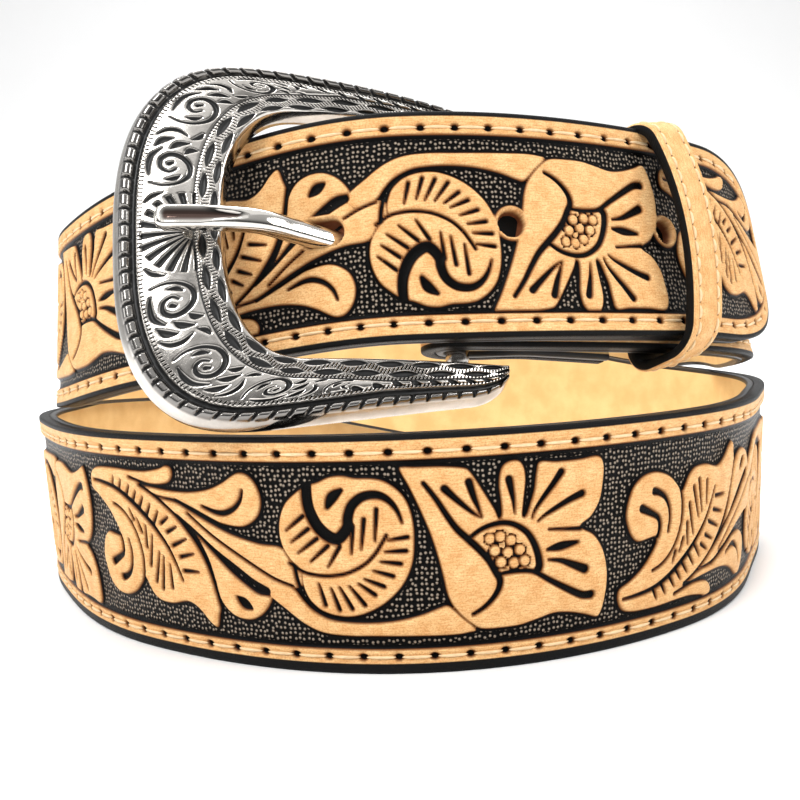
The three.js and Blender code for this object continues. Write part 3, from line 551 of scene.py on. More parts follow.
def run_frame(length):
    """Frame of the strap at a length from the bar. Below 0 the strap bends round
    the bar on FOLD_RADIUS, and then runs back behind itself as the tab."""
    length = np.asarray(length, float)
    base = strap_frame(np.full(length.shape, BAR_ANGLE))
    back = np.clip(-length - BEND_LENGTH, 0, TAB_LENGTH)
    angles = angle_at(np.where(length < 0, back, length))
    origin, along, outward, up, through = strap_frame(angles)
    apart = 2 * FOLD_RADIUS - 4.0 * soft_step(0, TAB_SETTLE, back)
    drop = TAB_DROP * back / TAB_LENGTH
    tab_origin = origin - outward * apart[..., None] - up * drop[..., None]
    turn = np.clip(-length / FOLD_RADIUS, 0, math.pi)[..., None]
    bend_outward = base[2] * np.cos(turn) - base[1] * np.sin(turn)
    bend_origin = base[0] + FOLD_RADIUS * (bend_outward - base[2])
    bend = (length < 0) & (length > -BEND_LENGTH)
    tab = length <= -BEND_LENGTH
    pick = lambda a, b, c: np.where(tab[..., None], a, np.where(bend[..., None], b, c))
    return (pick(tab_origin, bend_origin, origin), pick(up, base[3], up),
            pick(-outward, bend_outward, through))


def edge_distance(length, across):
    """Distance in from the cut edge of the strap, round its oval tip as well."""
    side = 0.5 * BELT_WIDTH - np.abs(across - 0.5 * BELT_WIDTH)
    x = np.clip((length - TIP_START) / TIP_LENGTH, 0, None)
    y = (across - 0.5 * BELT_WIDTH) / (0.5 * BELT_WIDTH)
    reach = np.maximum(np.hypot(x, y), 1e-6)
    slope = np.hypot(x / TIP_LENGTH, y / (0.5 * BELT_WIDTH)) / reach
    round_tip = (1 - reach) / np.maximum(slope, 1e-6)
    return np.where(x > 0, np.minimum(round_tip, side), side)


def hole_distance(length, across):
    """Distance from the rim of the nearest belt hole, less than 0 inside it.
    The hole that the prong goes through is drawn out along the strap."""
    nearest = np.full(np.broadcast(length, across).shape, 9.0)
    for hole in HOLES:
        slack = 1.4 if hole == PRONG_HOLE else 0.0
        x = np.maximum(np.abs(length - hole) - slack, 0)
        nearest = np.minimum(nearest, np.hypot(x, across - 0.5 * BELT_WIDTH) - HOLE_RADIUS)
    return nearest


def strap_rows(low, high, step):
    """Lengths of the rows of a stretch, set closer towards the oval tip."""
    if high <= TIP_START:
        inner = np.linspace(low + END_ROW, high - END_ROW, max(int((high - low) / step), 2) + 1)
        return np.concatenate([[low], inner, [high]])
    plain = np.linspace(low + END_ROW, TIP_START, int((TIP_START - low) / step) + 1)[:-1]
    plain = np.concatenate([[low], plain])
    turn = np.linspace(0, math.acos(3 / 38), 90)
    return np.concatenate([plain, TIP_START + TIP_LENGTH * np.sin(turn)])


def strap_layer(name, low, high, step, bottom, top, depths, columns, tooled):
    """One closed stretch of a layer, from length low to high and across from
    bottom to top. Its section is the face, two rounded edges and the back:
    point = origin + up * across - through * depth, in millimetres."""
    lengths = strap_rows(low, high, step)
    outer, inner = depths
    width = top - bottom
    face = np.linspace(0.5, width - 0.5, columns)
    round_in = [0.22, 0.06, 0.0]
    inward = math.copysign(1.0, inner - outer)
    edge = [0.06 * inward, 0.22 * inward, 0.5 * inward]
    last = inner - 0.3 * inward
    rim = np.array([(width - r, outer + e) for r, e in zip(round_in, edge)]
                   + [(width, last), (width - 0.25, inner), (0.72 * width, inner),
                      (0.28 * width, inner), (0.25, inner), (0, last)]
                   + [(r, outer + e) for r, e in zip(round_in[::-1], edge[::-1])])
    section_v = np.concatenate([face, rim[:, 0]]) / width
    section_d = np.concatenate([np.full(columns, outer), rim[:, 1]])
    share = np.clip((lengths - TIP_START) / TIP_LENGTH, 0, 1)
    low_edge = bottom + 0.5 * BELT_WIDTH * (1 - np.sqrt(1 - share**2))
    high_edge = top - 0.5 * BELT_WIDTH * (1 - np.sqrt(1 - share**2))
    across = low_edge[:, None] + section_v * (high_edge - low_edge)[:, None]
    length = np.broadcast_to(lengths[:, None], across.shape)
    depth = np.broadcast_to(section_d, across.shape).copy()
    from_edge = edge_distance(length, across)
    is_face = np.arange(len(section_v)) < columns
    ink = np.full(across.shape, 1.0)
    from_hole = hole_distance(length, across)
    if tooled:
        ink = np.maximum(motif_at(length, across), BORDER - from_edge)
        ink = np.minimum(ink, np.abs(from_edge - BORDER) - 0.15)
        # Stitch holes: small pits coloured like the black ground, painted shade in the holes.
        gap = np.abs((length / STITCH_PITCH + 0.5) % 1 - 0.5) * STITCH_PITCH
        ink = np.minimum(ink, np.hypot(0.8 * gap, from_edge - STITCH_IN) - 0.48)
        ink = np.maximum(ink, 0.55 - np.abs(from_hole - 0.1))
        groove = 0.3 * np.clip(1 - np.abs(from_edge - STITCH_IN) / 0.8, 0, 1)
        carved = CARVING_DEPTH * (1 - soft_step(-0.3, 0.5, ink)) + groove
        carved = carved * soft_step(0.4, 1.2, from_edge)
        rim_swell = 0.15 * np.exp(-((from_hole - 0.5) / 0.4) ** 2)
        depth = np.where(is_face, depth + carved - rim_swell, depth)
    pit = (1 - soft_step(-0.35, 0.15, from_hole)) * (inner - outer) * 0.85
    depth = np.where(is_face, depth + pit, depth)
    origin, up, through = run_frame(lengths)
    points = (origin[:, None] + up[:, None] * across[..., None]
              - through[:, None] * depth[..., None]) * MM
    mesh = grid_mesh(name, points[:, ::-1], closed_v=True, caps=True)
    attribute(mesh, "ink", ink[:, ::-1])
    # Where the belt stands on the floor, the black at its lower edge is widened past the edge
    # paint: painted contact shadow.
    standing = soft_step(400, 440, length) * soft_step(710, 670, length)
    painted = np.minimum(from_edge - EDGE_PAINT, across - EDGE_PAINT - FLOOR_SHADOW_BAND * standing)
    attribute(mesh, "edge", np.where(is_face, painted, -1.0)[:, ::-1])
    attribute(mesh, "hole", from_hole[:, ::-1])
    attribute(mesh, "along", length[:, ::-1])
    attribute(mesh, "across", (across + np.where(is_face, 0, section_d))[:, ::-1])
    return mesh


tooled_leather, leather, add, link = shader("tooled leather")


def blend(add, link, share, first, second):
    """Colour between two sockets or colours, by a share socket."""
    mix = add("Mix", data_type="RGBA")
    link(share, mix.inputs["Factor"])
    for name, value in (("A", first), ("B", second)):
        socket = [s for s in mix.inputs if s.name == name and s.type == "RGBA"][0]
        if isinstance(value, tuple):
            socket.default_value = value
        else:
            link(value, socket)
    return [s for s in mix.outputs if s.type == "RGBA"][0]


def ramp(add, link, source, low, high, start=0.0, end=1.0):
    """Smooth step of a number from low to high, as a share from start to end."""
    node = add("MapRange", interpolation_type="SMOOTHSTEP")
    link(source, node.inputs["Value"])
    node.inputs["From Min"].default_value = low
    node.inputs["From Max"].default_value = high
    node.inputs["To Min"].default_value = start
    node.inputs["To Max"].default_value = end
    return node.outputs["Result"]


def calculate(add, link, kind, first, second):
    """One sum, product or other step between two sockets or numbers."""
    node = add("Math", operation=kind)
    for socket, value in zip(node.inputs, (first, second)):
        if isinstance(value, (int, float)):
            socket.default_value = value
        else:
            link(value, socket)
    return node.outputs[0]


def leather_place(add, link):
    """Place on the strap in millimetres, length and distance across."""
    place = add("CombineXYZ")
    link(add("Attribute", attribute_name="along").outputs["Fac"], place.inputs["X"])
    link(add("Attribute", attribute_name="across").outputs["Fac"], place.inputs["Y"])
    return place.outputs[0]


place = leather_place(add, link)
ink = add("Attribute", attribute_name="ink").outputs["Fac"]
edge = add("Attribute", attribute_name="edge").outputs["Fac"]
hole = add("Attribute", attribute_name="hole").outputs["Fac"]
blotch = add("TexNoise", Scale=0.35, Detail=6.0, Roughness=0.65)
link(place, blotch.inputs["Vector"])
grain = add("TexNoise", Scale=3.2, Detail=5.0, Roughness=0.7)
link(place, grain.inputs["Vector"])
brushed = add("Mapping")
brushed.inputs["Scale"].default_value = (0.5, 5.0, 1.0)
link(place, brushed.inputs["Vector"])
streaks = add("TexNoise", Scale=1.0, Detail=4.0, Roughness=0.6)
link(brushed.outputs["Vector"], streaks.inputs["Vector"])
pebbles = add("TexVoronoi", voronoi_dimensions="2D", Scale=1.2, Randomness=0.5)
link(place, pebbles.inputs["Vector"])
light_tan = blend(add, link, ramp(add, link, blotch.outputs["Fac"], 0.3, 0.7),
                  (0.74, 0.43, 0.18, 1), (0.89, 0.61, 0.30, 1))
streaked_tan = blend(add, link, ramp(add, link, streaks.outputs["Fac"], 0.35, 0.6, 0.55, 0.0),
                     light_tan, (0.60, 0.25, 0.07, 1))
grained_tan = blend(add, link, ramp(add, link, grain.outputs["Fac"], 0.35, 0.6, 0.5, 0.0),
                    streaked_tan, (0.42, 0.16, 0.04, 1))
shaded_tan = blend(add, link, ramp(add, link, ink, 0.02, 0.4), (0.16, 0.05, 0.012, 1),
                   grained_tan)
ground_share = ramp(add, link, ink, -0.58, -0.4, 1.0, 0.0)
# Painted highlight: the tops of the beads in the black ground are coloured light grey-brown, a
# glint painted into the colour.
painted_bead_glints = ramp(add, link, pebbles.outputs["Distance"], 0.1, 0.38, 1.0, 0.0)
dyed_black_and_bead_glints = blend(add, link, calculate(add, link, "MULTIPLY", painted_bead_glints, ground_share),
                   (0.0004, 0.0003, 0.0003, 1), (0.40, 0.33, 0.26, 1))
tan_share = ramp(add, link, ink, -0.06, 0.1)
face_colour = blend(add, link, tan_share, dyed_black_and_bead_glints, shaded_tan)
# Painted shade: the floor of each hole, a blind pit, is dark brown, the cut leather darkened to
# stand in for the depth of the hole.
with_painted_hole_shade = blend(add, link, ramp(add, link, hole, -0.25, 0.1), (0.14, 0.045, 0.018, 1),
              face_colour)
# Black for the edge paint, and for the painted floor shadow along the lower edge.
edged = blend(add, link, ramp(add, link, edge, -0.1, 0.1), (0.006, 0.006, 0.006, 1), with_painted_hole_shade)
link(edged, leather.inputs["Base Color"])
leather.inputs["IOR"].default_value = 1.4
leather.inputs["Specular IOR Level"].default_value = 0.1
link(calculate(add, link, "ADD", ramp(add, link, grain.outputs["Fac"], 0.3, 0.7, 0.30, 0.40),
               calculate(add, link, "MULTIPLY", tan_share, 0.08)), leather.inputs["Roughness"])
beads_height = calculate(add, link, "MULTIPLY",
                         ramp(add, link, pebbles.outputs["Distance"], 0.0, 0.55, 1.0, 0.0),
                         ground_share)
fine_height = calculate(add, link, "MULTIPLY", grain.outputs["Fac"], 0.22)
bump = add("Bump", Strength=1.0, Distance=0.00045)
link(calculate(add, link, "ADD", beads_height, fine_height), bump.inputs["Height"])
link(bump.outputs["Normal"], leather.inputs["Normal"])

# Stretches: name, from, to, row step, face columns
STRETCHES = [
    ("strap_start", SLOT_START, 200, 0.62, 62), ("strap_back", 200, 420, 0.62, 62),
    ("strap_lower_front", 420, 680, 0.34, 112), ("strap_inner_back", 680, 1000, 0.62, 62),
    ("strap_upper_front", 1000, STRAP_LENGTH, 0.34, 112),
]
FACE_DEPTHS = (0.0, FACE_THICKNESS + 0.2)
for name, low, high, step, columns in STRETCHES:
    mesh = strap_layer(name, low, high, step, 0.0, BELT_WIDTH, FACE_DEPTHS, columns, True)
    add_piece(name, mesh, tooled_leather, ["tooled_strap"])
FOLDS = [
    ("fold_lower", -SLOT_END, SLOT_START, 0.0, SLOT_LOW, 24),
    ("fold_upper", -SLOT_END, SLOT_START, SLOT_HIGH, BELT_WIDTH, 32),
    ("tab", -BEND_LENGTH - TAB_LENGTH, -SLOT_END, 0.0, BELT_WIDTH, 60),
]
for name, low, high, bottom, top, columns in FOLDS:
    mesh = strap_layer(name, low, high, 0.6, bottom, top, FACE_DEPTHS, columns, True)
    add_piece(name, mesh, tooled_leather, ["tooled_strap"])

# Lining: one smooth layer of plain pale leather behind the tooled face, cut
# with it, so that its edges are painted black in the same pass.
lining_leather, lining_shader, add, link = shader("lining leather")
place = leather_place(add, link)
edge = add("Attribute", attribute_name="edge").outputs["Fac"]
hole = add("Attribute", attribute_name="hole").outputs["Fac"]
cloud = add("TexNoise", Scale=0.12, Detail=4.0)
link(place, cloud.inputs["Vector"])
pores = add("TexNoise", Scale=4.0, Detail=4.0, Roughness=0.6)
link(place, pores.inputs["Vector"])
pale = blend(add, link, ramp(add, link, cloud.outputs["Fac"], 0.3, 0.7),
             (0.74, 0.47, 0.19, 1), (0.86, 0.60, 0.27, 1))
grained = blend(add, link, ramp(add, link, pores.outputs["Fac"], 0.3, 0.6, 0.25, 0.0), pale,
                (0.45, 0.26, 0.10, 1))
# Painted shade: the floor of each hole in the lining is near black, standing in for the depth of
# the hole.
with_painted_hole_shade = blend(add, link, ramp(add, link, hole, -0.25, 0.1), (0.03, 0.012, 0.006, 1), grained)
link(blend(add, link, ramp(add, link, edge, -0.1, 0.1), (0.006, 0.006, 0.006, 1), with_painted_hole_shade),
     lining_shader.inputs["Base Color"])
lining_shader.inputs["Roughness"].default_value = 0.42
bump = add("Bump", Strength=0.5, Distance=0.0001)
link(pores.outputs["Fac"], bump.inputs["Height"])
link(bump.outputs["Normal"], lining_shader.inputs["Normal"])
LINING_DEPTHS = (FACE_THICKNESS + 0.25, STRAP_THICKNESS)


def lining_layer(name, low, high, step, bottom, top, columns):
    """The lining is the strap's layer turned over, with its face to the inside."""
    mesh = strap_layer(name, low, high, step, bottom, top, LINING_DEPTHS[::-1], columns, False)
    mesh.flip_normals()
    add_piece(name, mesh, lining_leather, ["strap_lining"])


LINING_STRETCHES = [
    ("lining_start", SLOT_START, 420, 0.0, BELT_WIDTH),
    ("lining_inner", 420, 800, 0.0, BELT_WIDTH),
    ("lining_end", 800, STRAP_LENGTH, 0.0, BELT_WIDTH),
    ("lining_fold_lower", -SLOT_END, SLOT_START, 0.0, SLOT_LOW),
    ("lining_fold_upper", -SLOT_END, SLOT_START, SLOT_HIGH, BELT_WIDTH),
    ("lining_tab", -BEND_LENGTH - TAB_LENGTH, -SLOT_END, 0.0, BELT_WIDTH),
]
for name, low, high, bottom, top in LINING_STRETCHES:
    lining_layer(name, low, high, 1.0, bottom, top, 40)

# Stitches: heavy waxed cream thread, one row along each side and round the
# tip, every stitch a short plump stroke that sinks into its awl hole.
STITCH_LENGTH = 4.6
THREAD_RADIUS = 0.27
STITCH_SINK = 0.12
thread, thread_shader, add, link = shader("waxed thread")
coordinates = add("TexCoord")
strands = add("TexNoise", Scale=900.0, Detail=3.0)
link(coordinates.outputs["Object"], strands.inputs["Vector"])
link(blend(add, link, strands.outputs["Fac"], (0.58, 0.38, 0.18, 1), (0.88, 0.68, 0.42, 1)),
     thread_shader.inputs["Base Color"])
thread_shader.inputs["Roughness"].default_value = 0.55
bump = add("Bump", Strength=0.6, Distance=0.0001)
link(strands.outputs["Fac"], bump.inputs["Height"])
link(bump.outputs["Normal"], thread_shader.inputs["Normal"])


def thread_strokes(name, points, ways, sides, ups, length, radius, nodes):
    """Merged stitches. Each is a closed tube of six sides and seven rings about
    its point: radius * sqrt(1 - x * x) at x along it, sunk at both ends."""
    rings, turns = 7, 6
    x = np.sin(np.linspace(-1, 1, rings) * math.pi / 2 * 0.96)
    plump = radius * np.sqrt(1 - x**2) ** 0.6
    angle = np.arange(turns) * 2 * math.pi / turns
    local = np.zeros((rings, turns, 3))
    local[..., 0] = 0.5 * length * x[:, None]
    local[..., 1] = plump[:, None] * np.cos(angle)
    local[..., 2] = plump[:, None] * np.sin(angle) - 0.25 * np.abs(x[:, None]) ** 3
    shapes = (points[:, None, None] + local[..., 0, None] * ways[:, None, None]
              + local[..., 1, None] * sides[:, None, None]
              + local[..., 2, None] * ups[:, None, None]) * MM
    count = len(points)
    index = np.arange(count * rings * turns).reshape(count, rings, turns)
    a, d = index[:, :-1], index[:, 1:]
    quads = np.stack([a, np.roll(a, -1, 2), np.roll(d, -1, 2), d], -1).reshape(-1, 4)
    ends = np.concatenate([index[:, 0, ::-1], index[:, -1]])
    mesh = bpy.data.meshes.new(name)
    mesh.from_pydata(shapes.reshape(-1, 3).tolist(), [], quads.tolist() + ends.tolist())
    mesh.shade_smooth()
    mesh.update()
    add_piece(name, mesh, thread, nodes)


def stitch_row(name, lengths, across):
    """Row of stitches on the tooled face at lengths and heights across it."""
    origin, up, through = run_frame(lengths)
    ahead, up_ahead, _ = run_frame(lengths + 0.5)
    points = origin + up * across[:, None] - through * STITCH_SINK
    shifted = np.interp(lengths + 0.5, lengths, across)
    shifted[-1] = across[-1] * 2 - np.interp(lengths[-1] - 0.5, lengths, across)
    ways = unit(ahead + up_ahead * shifted[:, None] - through * STITCH_SINK - points)
    sides = unit(np.cross(through, ways))
    thread_strokes(name, points, ways, sides, unit(np.cross(ways, sides)), STITCH_LENGTH,
                   THREAD_RADIUS, ["tooled_strap"])


stitch_spots = (np.arange(math.floor((TIP_START + 20) / STITCH_PITCH)) + 0.5) * STITCH_PITCH
stitch_spots = stitch_spots[stitch_spots > SLOT_START + 3]
tip_axis_long, tip_axis_wide = TIP_LENGTH - STITCH_IN, 0.5 * BELT_WIDTH - STITCH_IN
tip_share = np.clip((stitch_spots - TIP_START) / tip_axis_long, 0, 0.999)
stitch_half = tip_axis_wide * np.sqrt(1 - tip_share**2)
stitch_row("stitches_lower", stitch_spots, 0.5 * BELT_WIDTH - stitch_half)
stitch_row("stitches_upper", stitch_spots, 0.5 * BELT_WIDTH + stitch_half)
tab_spots = -BEND_LENGTH - np.arange(12.0, TAB_LENGTH - 2, STITCH_PITCH)[::-1]
stitch_row("tab_stitches_lower", tab_spots, np.full(len(tab_spots), STITCH_IN))
stitch_row("tab_stitches_upper", tab_spots, np.full(len(tab_spots), BELT_WIDTH - STITCH_IN))

# Keeper: a loop of the same leather round both layers of the belt, tan on the
# outside with two rows of thread, its cut edges painted black.
KEEPER_ANGLE = 32.4
KEEPER_OUTER_ANGLE = KEEPER_ANGLE + 720.0
KEEPER_WIDTH = 8.0
KEEPER_THICKNESS = 1.8
KEEPER_GAP = 0.65
KEEPER_CORNER = 4.5
KEEPER_SKEW = math.radians(11)
KEEPER_BULGE = 3.8
keeper_origin, keeper_along, keeper_out, keeper_up, _ = strap_frame(KEEPER_OUTER_ANGLE)
keeper_centre = keeper_origin + keeper_up * 0.5 * BELT_WIDTH
# Columns: upwards and outwards in the plane of the loop
keeper_corners = []
for angle in (KEEPER_ANGLE, KEEPER_OUTER_ANGLE):
    for reach in (-3.0, 0.0, 3.0):
        turn = angle + math.degrees(reach / COIL_RADIUS)
        corner_origin, _, _, corner_up, corner_through = strap_frame(turn)
        for high in (0.0, BELT_WIDTH):
            for deep in (0.0, STRAP_THICKNESS):
                spot = corner_origin + corner_up * high - corner_through * deep - keeper_centre
                keeper_corners.append((spot @ keeper_up, spot @ keeper_out))
keeper_corners = np.array(keeper_corners)
loop_low = keeper_corners.min(0) - KEEPER_GAP
loop_high = keeper_corners.max(0) + KEEPER_GAP


def keeper_outline(grow, count=200):
    """Round-cornered loop, grown by an offset, at even steps of its length. Its
    front, furthest outwards, is bulged: out = front + bulge * (1 - u * u)."""
    low, high = loop_low - grow, loop_high + grow
    corner = max(KEEPER_CORNER - KEEPER_THICKNESS + grow, 0.8)
    turn = np.linspace(0, math.pi / 2, 12)
    centres = [(high[0] - corner, high[1] - corner, 0), (low[0] + corner, high[1] - corner, 1),
               (low[0] + corner, low[1] + corner, 2), (high[0] - corner, low[1] + corner, 3)]
    loop = np.concatenate([np.column_stack([x + corner * np.cos(turn + quarter * math.pi / 2),
                                            y + corner * np.sin(turn + quarter * math.pi / 2)])
                           for x, y, quarter in centres])
    loop = np.concatenate([loop, loop[:1]])
    steps = np.concatenate([[0], np.cumsum(np.linalg.norm(np.diff(loop, axis=0), axis=1))])
    even = np.linspace(0, steps[-1], count, endpoint=False)
    loop = np.column_stack([np.interp(even, steps, loop[:, k]) for k in (0, 1)])
    u = np.clip((loop[:, 0] - 0.5 * (low[0] + high[0])) / (0.5 * (high[0] - low[0])), -1, 1)
    front = soft_step(0.5 * (low[1] + high[1]), high[1], loop[:, 1])
    loop[:, 1] += KEEPER_BULGE * (1 - u**2) * front
    return loop


# Section of the keeper: along the belt, and out from the inner face
half = 0.5 * KEEPER_WIDTH
keeper_section = np.array([
    (-half, 0.2), (-half, 1.2), (-half + 0.15, 1.6), (-half + 0.5, 1.8), (-2.9, 1.8),
    (-2.5, 1.55), (-2.1, 1.8), (-1.0, 1.85), (0.0, 1.88), (1.0, 1.85), (2.1, 1.8),
    (2.5, 1.55), (2.9, 1.8), (half - 0.5, 1.8), (half - 0.15, 1.6), (half, 1.2),
    (half, 0.2), (half - 0.2, 0.0), (-half + 0.2, 0.0)])
inner_loop, outer_loop = keeper_outline(0.0), keeper_outline(KEEPER_THICKNESS)
share = keeper_section[:, 1] / KEEPER_THICKNESS
loop = inner_loop[:, None] * (1 - share)[:, None] + outer_loop[:, None] * share[:, None]
keeper_points = (keeper_centre + loop[..., 0, None] * keeper_up
                 + loop[..., 1, None] * keeper_out
                 + keeper_section[:, 0, None] * keeper_along)
keeper_points[..., 2] += (keeper_points[..., 0] - keeper_centre[0]) * math.tan(KEEPER_SKEW)
keeper_mesh = grid_mesh("keeper", keeper_points * MM, closed_u=True, closed_v=True)
on_face = (keeper_section[:, 1] > 1.5) & (np.abs(keeper_section[:, 0]) < half - 0.1)
attribute(keeper_mesh, "edge", np.tile(np.where(on_face, 0.5, -1.0), (200, 1)))
# The keeper's stitch holes are dark dots in the colour only: painted shade, with no hole in the
# mesh.
keeper_tan_and_hole_shade = np.full(keeper_points.shape[:2], 1.0)
keeper_tan_and_hole_shade[np.ix_(np.arange(2, 200, 5), [5, 11])] = -0.5
attribute(keeper_mesh, "ink", keeper_tan_and_hole_shade)
attribute(keeper_mesh, "hole", np.full(keeper_points.shape[:2], 5.0))
attribute(keeper_mesh, "along", np.repeat(np.arange(200) * 0.6, len(keeper_section)))
attribute(keeper_mesh, "across", np.tile(keeper_section[:, 0] + 40, 200))
add_piece("keeper_loop", keeper_mesh, tooled_leather, ["keeper"])
for name, column in (("keeper_stitches_left", 5), ("keeper_stitches_right", 11)):
    row = keeper_points[:, column]
    steps = np.arange(0, 200, 5)
    ways = unit(np.roll(row, -1, 0) - np.roll(row, 1, 0))[steps]
    outs = unit((outer_loop - inner_loop) @ np.array([keeper_up, keeper_out]))[steps]
    sides = unit(np.cross(outs, ways))
    thread_strokes(name, row[steps] + 0.3 * outs, ways, sides, unit(np.cross(ways, sides)), 2.3,
                   0.28, ["keeper"])

# Buckle frame: one nickel casting, arched like the hip it lies on, with a milled
# rope round its edge, engraved scrolls and a scalloped border, its cuts left black.
BUCKLE_TURN, BUCKLE_YAW, BUCKLE_LEAN = 3.0, -3.0, 7.0
BUCKLE_DROP = 0.6
FRAME_LENGTH, FRAME_HALF, FRAME_END_HALF, FRAME_SAG = 56.2, 31.4, 27.4, 0.7
OPENING_LENGTH, OPENING_HALF, OPENING_SAG = 38.4, 21.4, -0.1
FRAME_HOOK, HOOK_ROUND = 7.2, 1.04
FRAME_THICKNESS, FRAME_ARCH, ARCH_TOP = 3.4, 9.0, 0.8
ROPE_COUNT = 62
bar_origin, bar_along, bar_out, bar_up, _ = strap_frame(BAR_ANGLE)
bar_place = bar_origin - bar_out * FOLD_RADIUS + bar_up * (0.5 * BELT_WIDTH - BUCKLE_DROP)
bar_basis = np.column_stack([bar_along, bar_up, bar_out])


def turned(lean, yaw, turn):
    """Turn about x by lean, then about y by yaw, then about z by turn, in degrees."""
    kinds = ((-lean, "X"), (yaw, "Y"), (turn, "Z"))
    turns = [np.array(Matrix.Rotation(math.radians(a), 3, axis)) for a, axis in kinds]
    return turns[0] @ turns[1] @ turns[2]


buckle_basis = bar_basis @ turned(BUCKLE_LEAN, BUCKLE_YAW, BUCKLE_TURN)


def outline_point(t, length, half, end_half, corner, power):
    """Point of one edge of the C at t from 0, the upper hook, to 1, the lower. An
    arm runs straight and narrows, and a corner is a superellipse quarter."""
    side = np.where(t < 0.5, 1.0, -1.0)
    s = 1 - np.abs(2 * t - 1)
    start = corner - length
    x = FRAME_HOOK + (start - FRAME_HOOK) * s / 0.5
    share = np.clip((x - start) / (length - corner), 0, 1.2)
    height = half + (end_half - half) * share**1.3
    hook = np.sqrt(np.clip(1 - (np.maximum(x, 0) / (FRAME_HOOK * HOOK_ROUND)) ** 2, 0, 1))
    arm_y = side * (OPENING_HALF + (height - OPENING_HALF) * hook)
    turn = np.clip((s - 0.5) / 0.5, 0, 1) * math.pi / 2
    corner_x = start - corner * np.sin(turn) ** (2 / power)
    corner_y = side * half * np.clip(np.cos(turn), 0, 1) ** (2 / power)
    arm = s < 0.5
    return np.stack([np.where(arm, x, corner_x), np.where(arm, arm_y, corner_y)], -1)


def frame_edges(t):
    """Outer and inner edge of the casting at t, each moved by its own sag."""
    outer = outline_point(t, FRAME_LENGTH, FRAME_HALF, FRAME_END_HALF, 21.0, 2.7)
    inner = outline_point(t, OPENING_LENGTH, OPENING_HALF, OPENING_HALF, 13.0, 2.5)
    return outer - (0, FRAME_SAG), inner - (0, OPENING_SAG)


def arch_at(x):
    """Height of the middle of the casting: a parabola with its top near the left."""
    top = ARCH_TOP * FRAME_LENGTH
    return FRAME_ARCH * (1 - ((x + top) / top) ** 2)


# Rows along the C at even steps, measured where the rope runs
trial = np.linspace(0, 1, 4001)
trial_outer, trial_inner = frame_edges(trial)
trial_line = 0.85 * trial_outer + 0.15 * trial_inner
trial_steps = np.linalg.norm(np.diff(trial_line, axis=0), axis=1)
trial_length = np.concatenate([[0], np.cumsum(trial_steps)])
C_LENGTH = trial_length[-1]
frame_along = np.linspace(0, C_LENGTH, 960)
frame_t = np.interp(frame_along, trial_length, trial)
frame_outer, frame_inner = frame_edges(frame_t)
frame_width = np.linalg.norm(frame_outer - frame_inner, axis=1)
squeeze = np.minimum(1, frame_width / 10.6)

# Zones in from the outer edge: skirt, rope, channel; in from the opening: rim,
# scalloped line and milled line; the panel of scrolls fills what is between
front = 78
share = np.linspace(0, 1, front)
away = share[None] * frame_width[:, None] / squeeze[:, None]
inset = (1 - share[None]) * frame_width[:, None] / squeeze[:, None]
run = np.broadcast_to(frame_along[:, None], away.shape)
from_middle = run - 0.5 * C_LENGTH

# Scroll cuts, in a cell 13 mm along the C and 8 across the panel
SCROLL_CELL = 13.0
SCROLLS = [
    ((0.2, 0.9, 0.3), [(1.0, 1.2), (0.7, 3.2), (1.4, 5.4), (3.2, 6.9), (5.4, 6.8), (6.8, 5.4),
                       (6.9, 3.6), (5.6, 2.4), (4.0, 2.7), (3.5, 4.0), (4.3, 4.9)]),
    ((0.2, 1.0, 0.2), [(2.4, 1.0), (4.2, 0.7), (6.2, 0.9), (7.9, 2.2)]),
    ((0.2, 1.1, 0.2), [(8.0, 1.0), (9.4, 1.9), (10.2, 3.4)]),
    ((0.2, 1.1, 0.2), [(8.0, 3.4), (9.2, 4.3), (10.0, 5.9)]),
    ((0.2, 1.0, 0.2), [(7.6, 5.7), (8.6, 6.3), (9.0, 7.4)]),
    ((0.2, 0.9, 0.2), [(10.2, 0.7), (11.5, 1.9), (11.9, 3.6), (11.3, 5.2)]),
    ((0.2, 0.8, 0.2), [(10.9, 6.0), (11.8, 6.9), (13.0, 7.2)]),
    ((0.7, 0.5), [(5.0, 3.7), (5.4, 4.2)]),
    ((0.2, 0.8, 0.2), [(1.9, 3.6), (2.2, 4.8), (3.0, 5.6)]),
]
panel_width = np.maximum(frame_width / squeeze - 9.4, 0.4)[:, None]
panel_share = (away - 4.9) / panel_width
cell = (np.abs(from_middle) - 9.0) % SCROLL_CELL
scroll_ink = np.full(away.shape, 3.0)
for widths, points in SCROLLS:
    points = np.asarray(points, float)
    half = 0.5 * np.interp(np.linspace(0, 1, len(points)), np.linspace(0, 1, len(widths)), widths)
    line = smooth_line(np.column_stack([points, half]), parts=4)
    scroll_ink = np.minimum(scroll_ink, line_distance(cell, panel_share * 8, line, False)[0])
scroll_ink = np.where((panel_share < 0) | (panel_share > 1), 3.0, scroll_ink)
narrow = soft_step(2.0, 3.5, np.broadcast_to(panel_width, away.shape))
leaf = np.hypot(((run + 1.2 * away) % 3.4 - 1.7) * 1.0, (away - 5.1) * 0.9) - 0.8
scroll_ink = np.where(narrow > 0.5, scroll_ink, leaf)
fan_x, fan_y = inset - 4.2, from_middle
fan_turn = np.arctan2(fan_y, np.maximum(fan_x, 0.01))
fan_reach = np.hypot(fan_x, fan_y)
fan_ray = np.abs((fan_turn / 0.26 + 0.5) % 1 - 0.5) * 0.26 * fan_reach
fan_ink = np.maximum(fan_ray - 0.11 * fan_reach * 0.55, np.abs(fan_reach - 5.4) - 3.4)
scroll_ink = np.where(fan_reach < 9.6, np.maximum(fan_ink, -0.6), scroll_ink)
scroll_ink = np.where((away < 4.9) | (inset < 4.4), 3.0, scroll_ink)

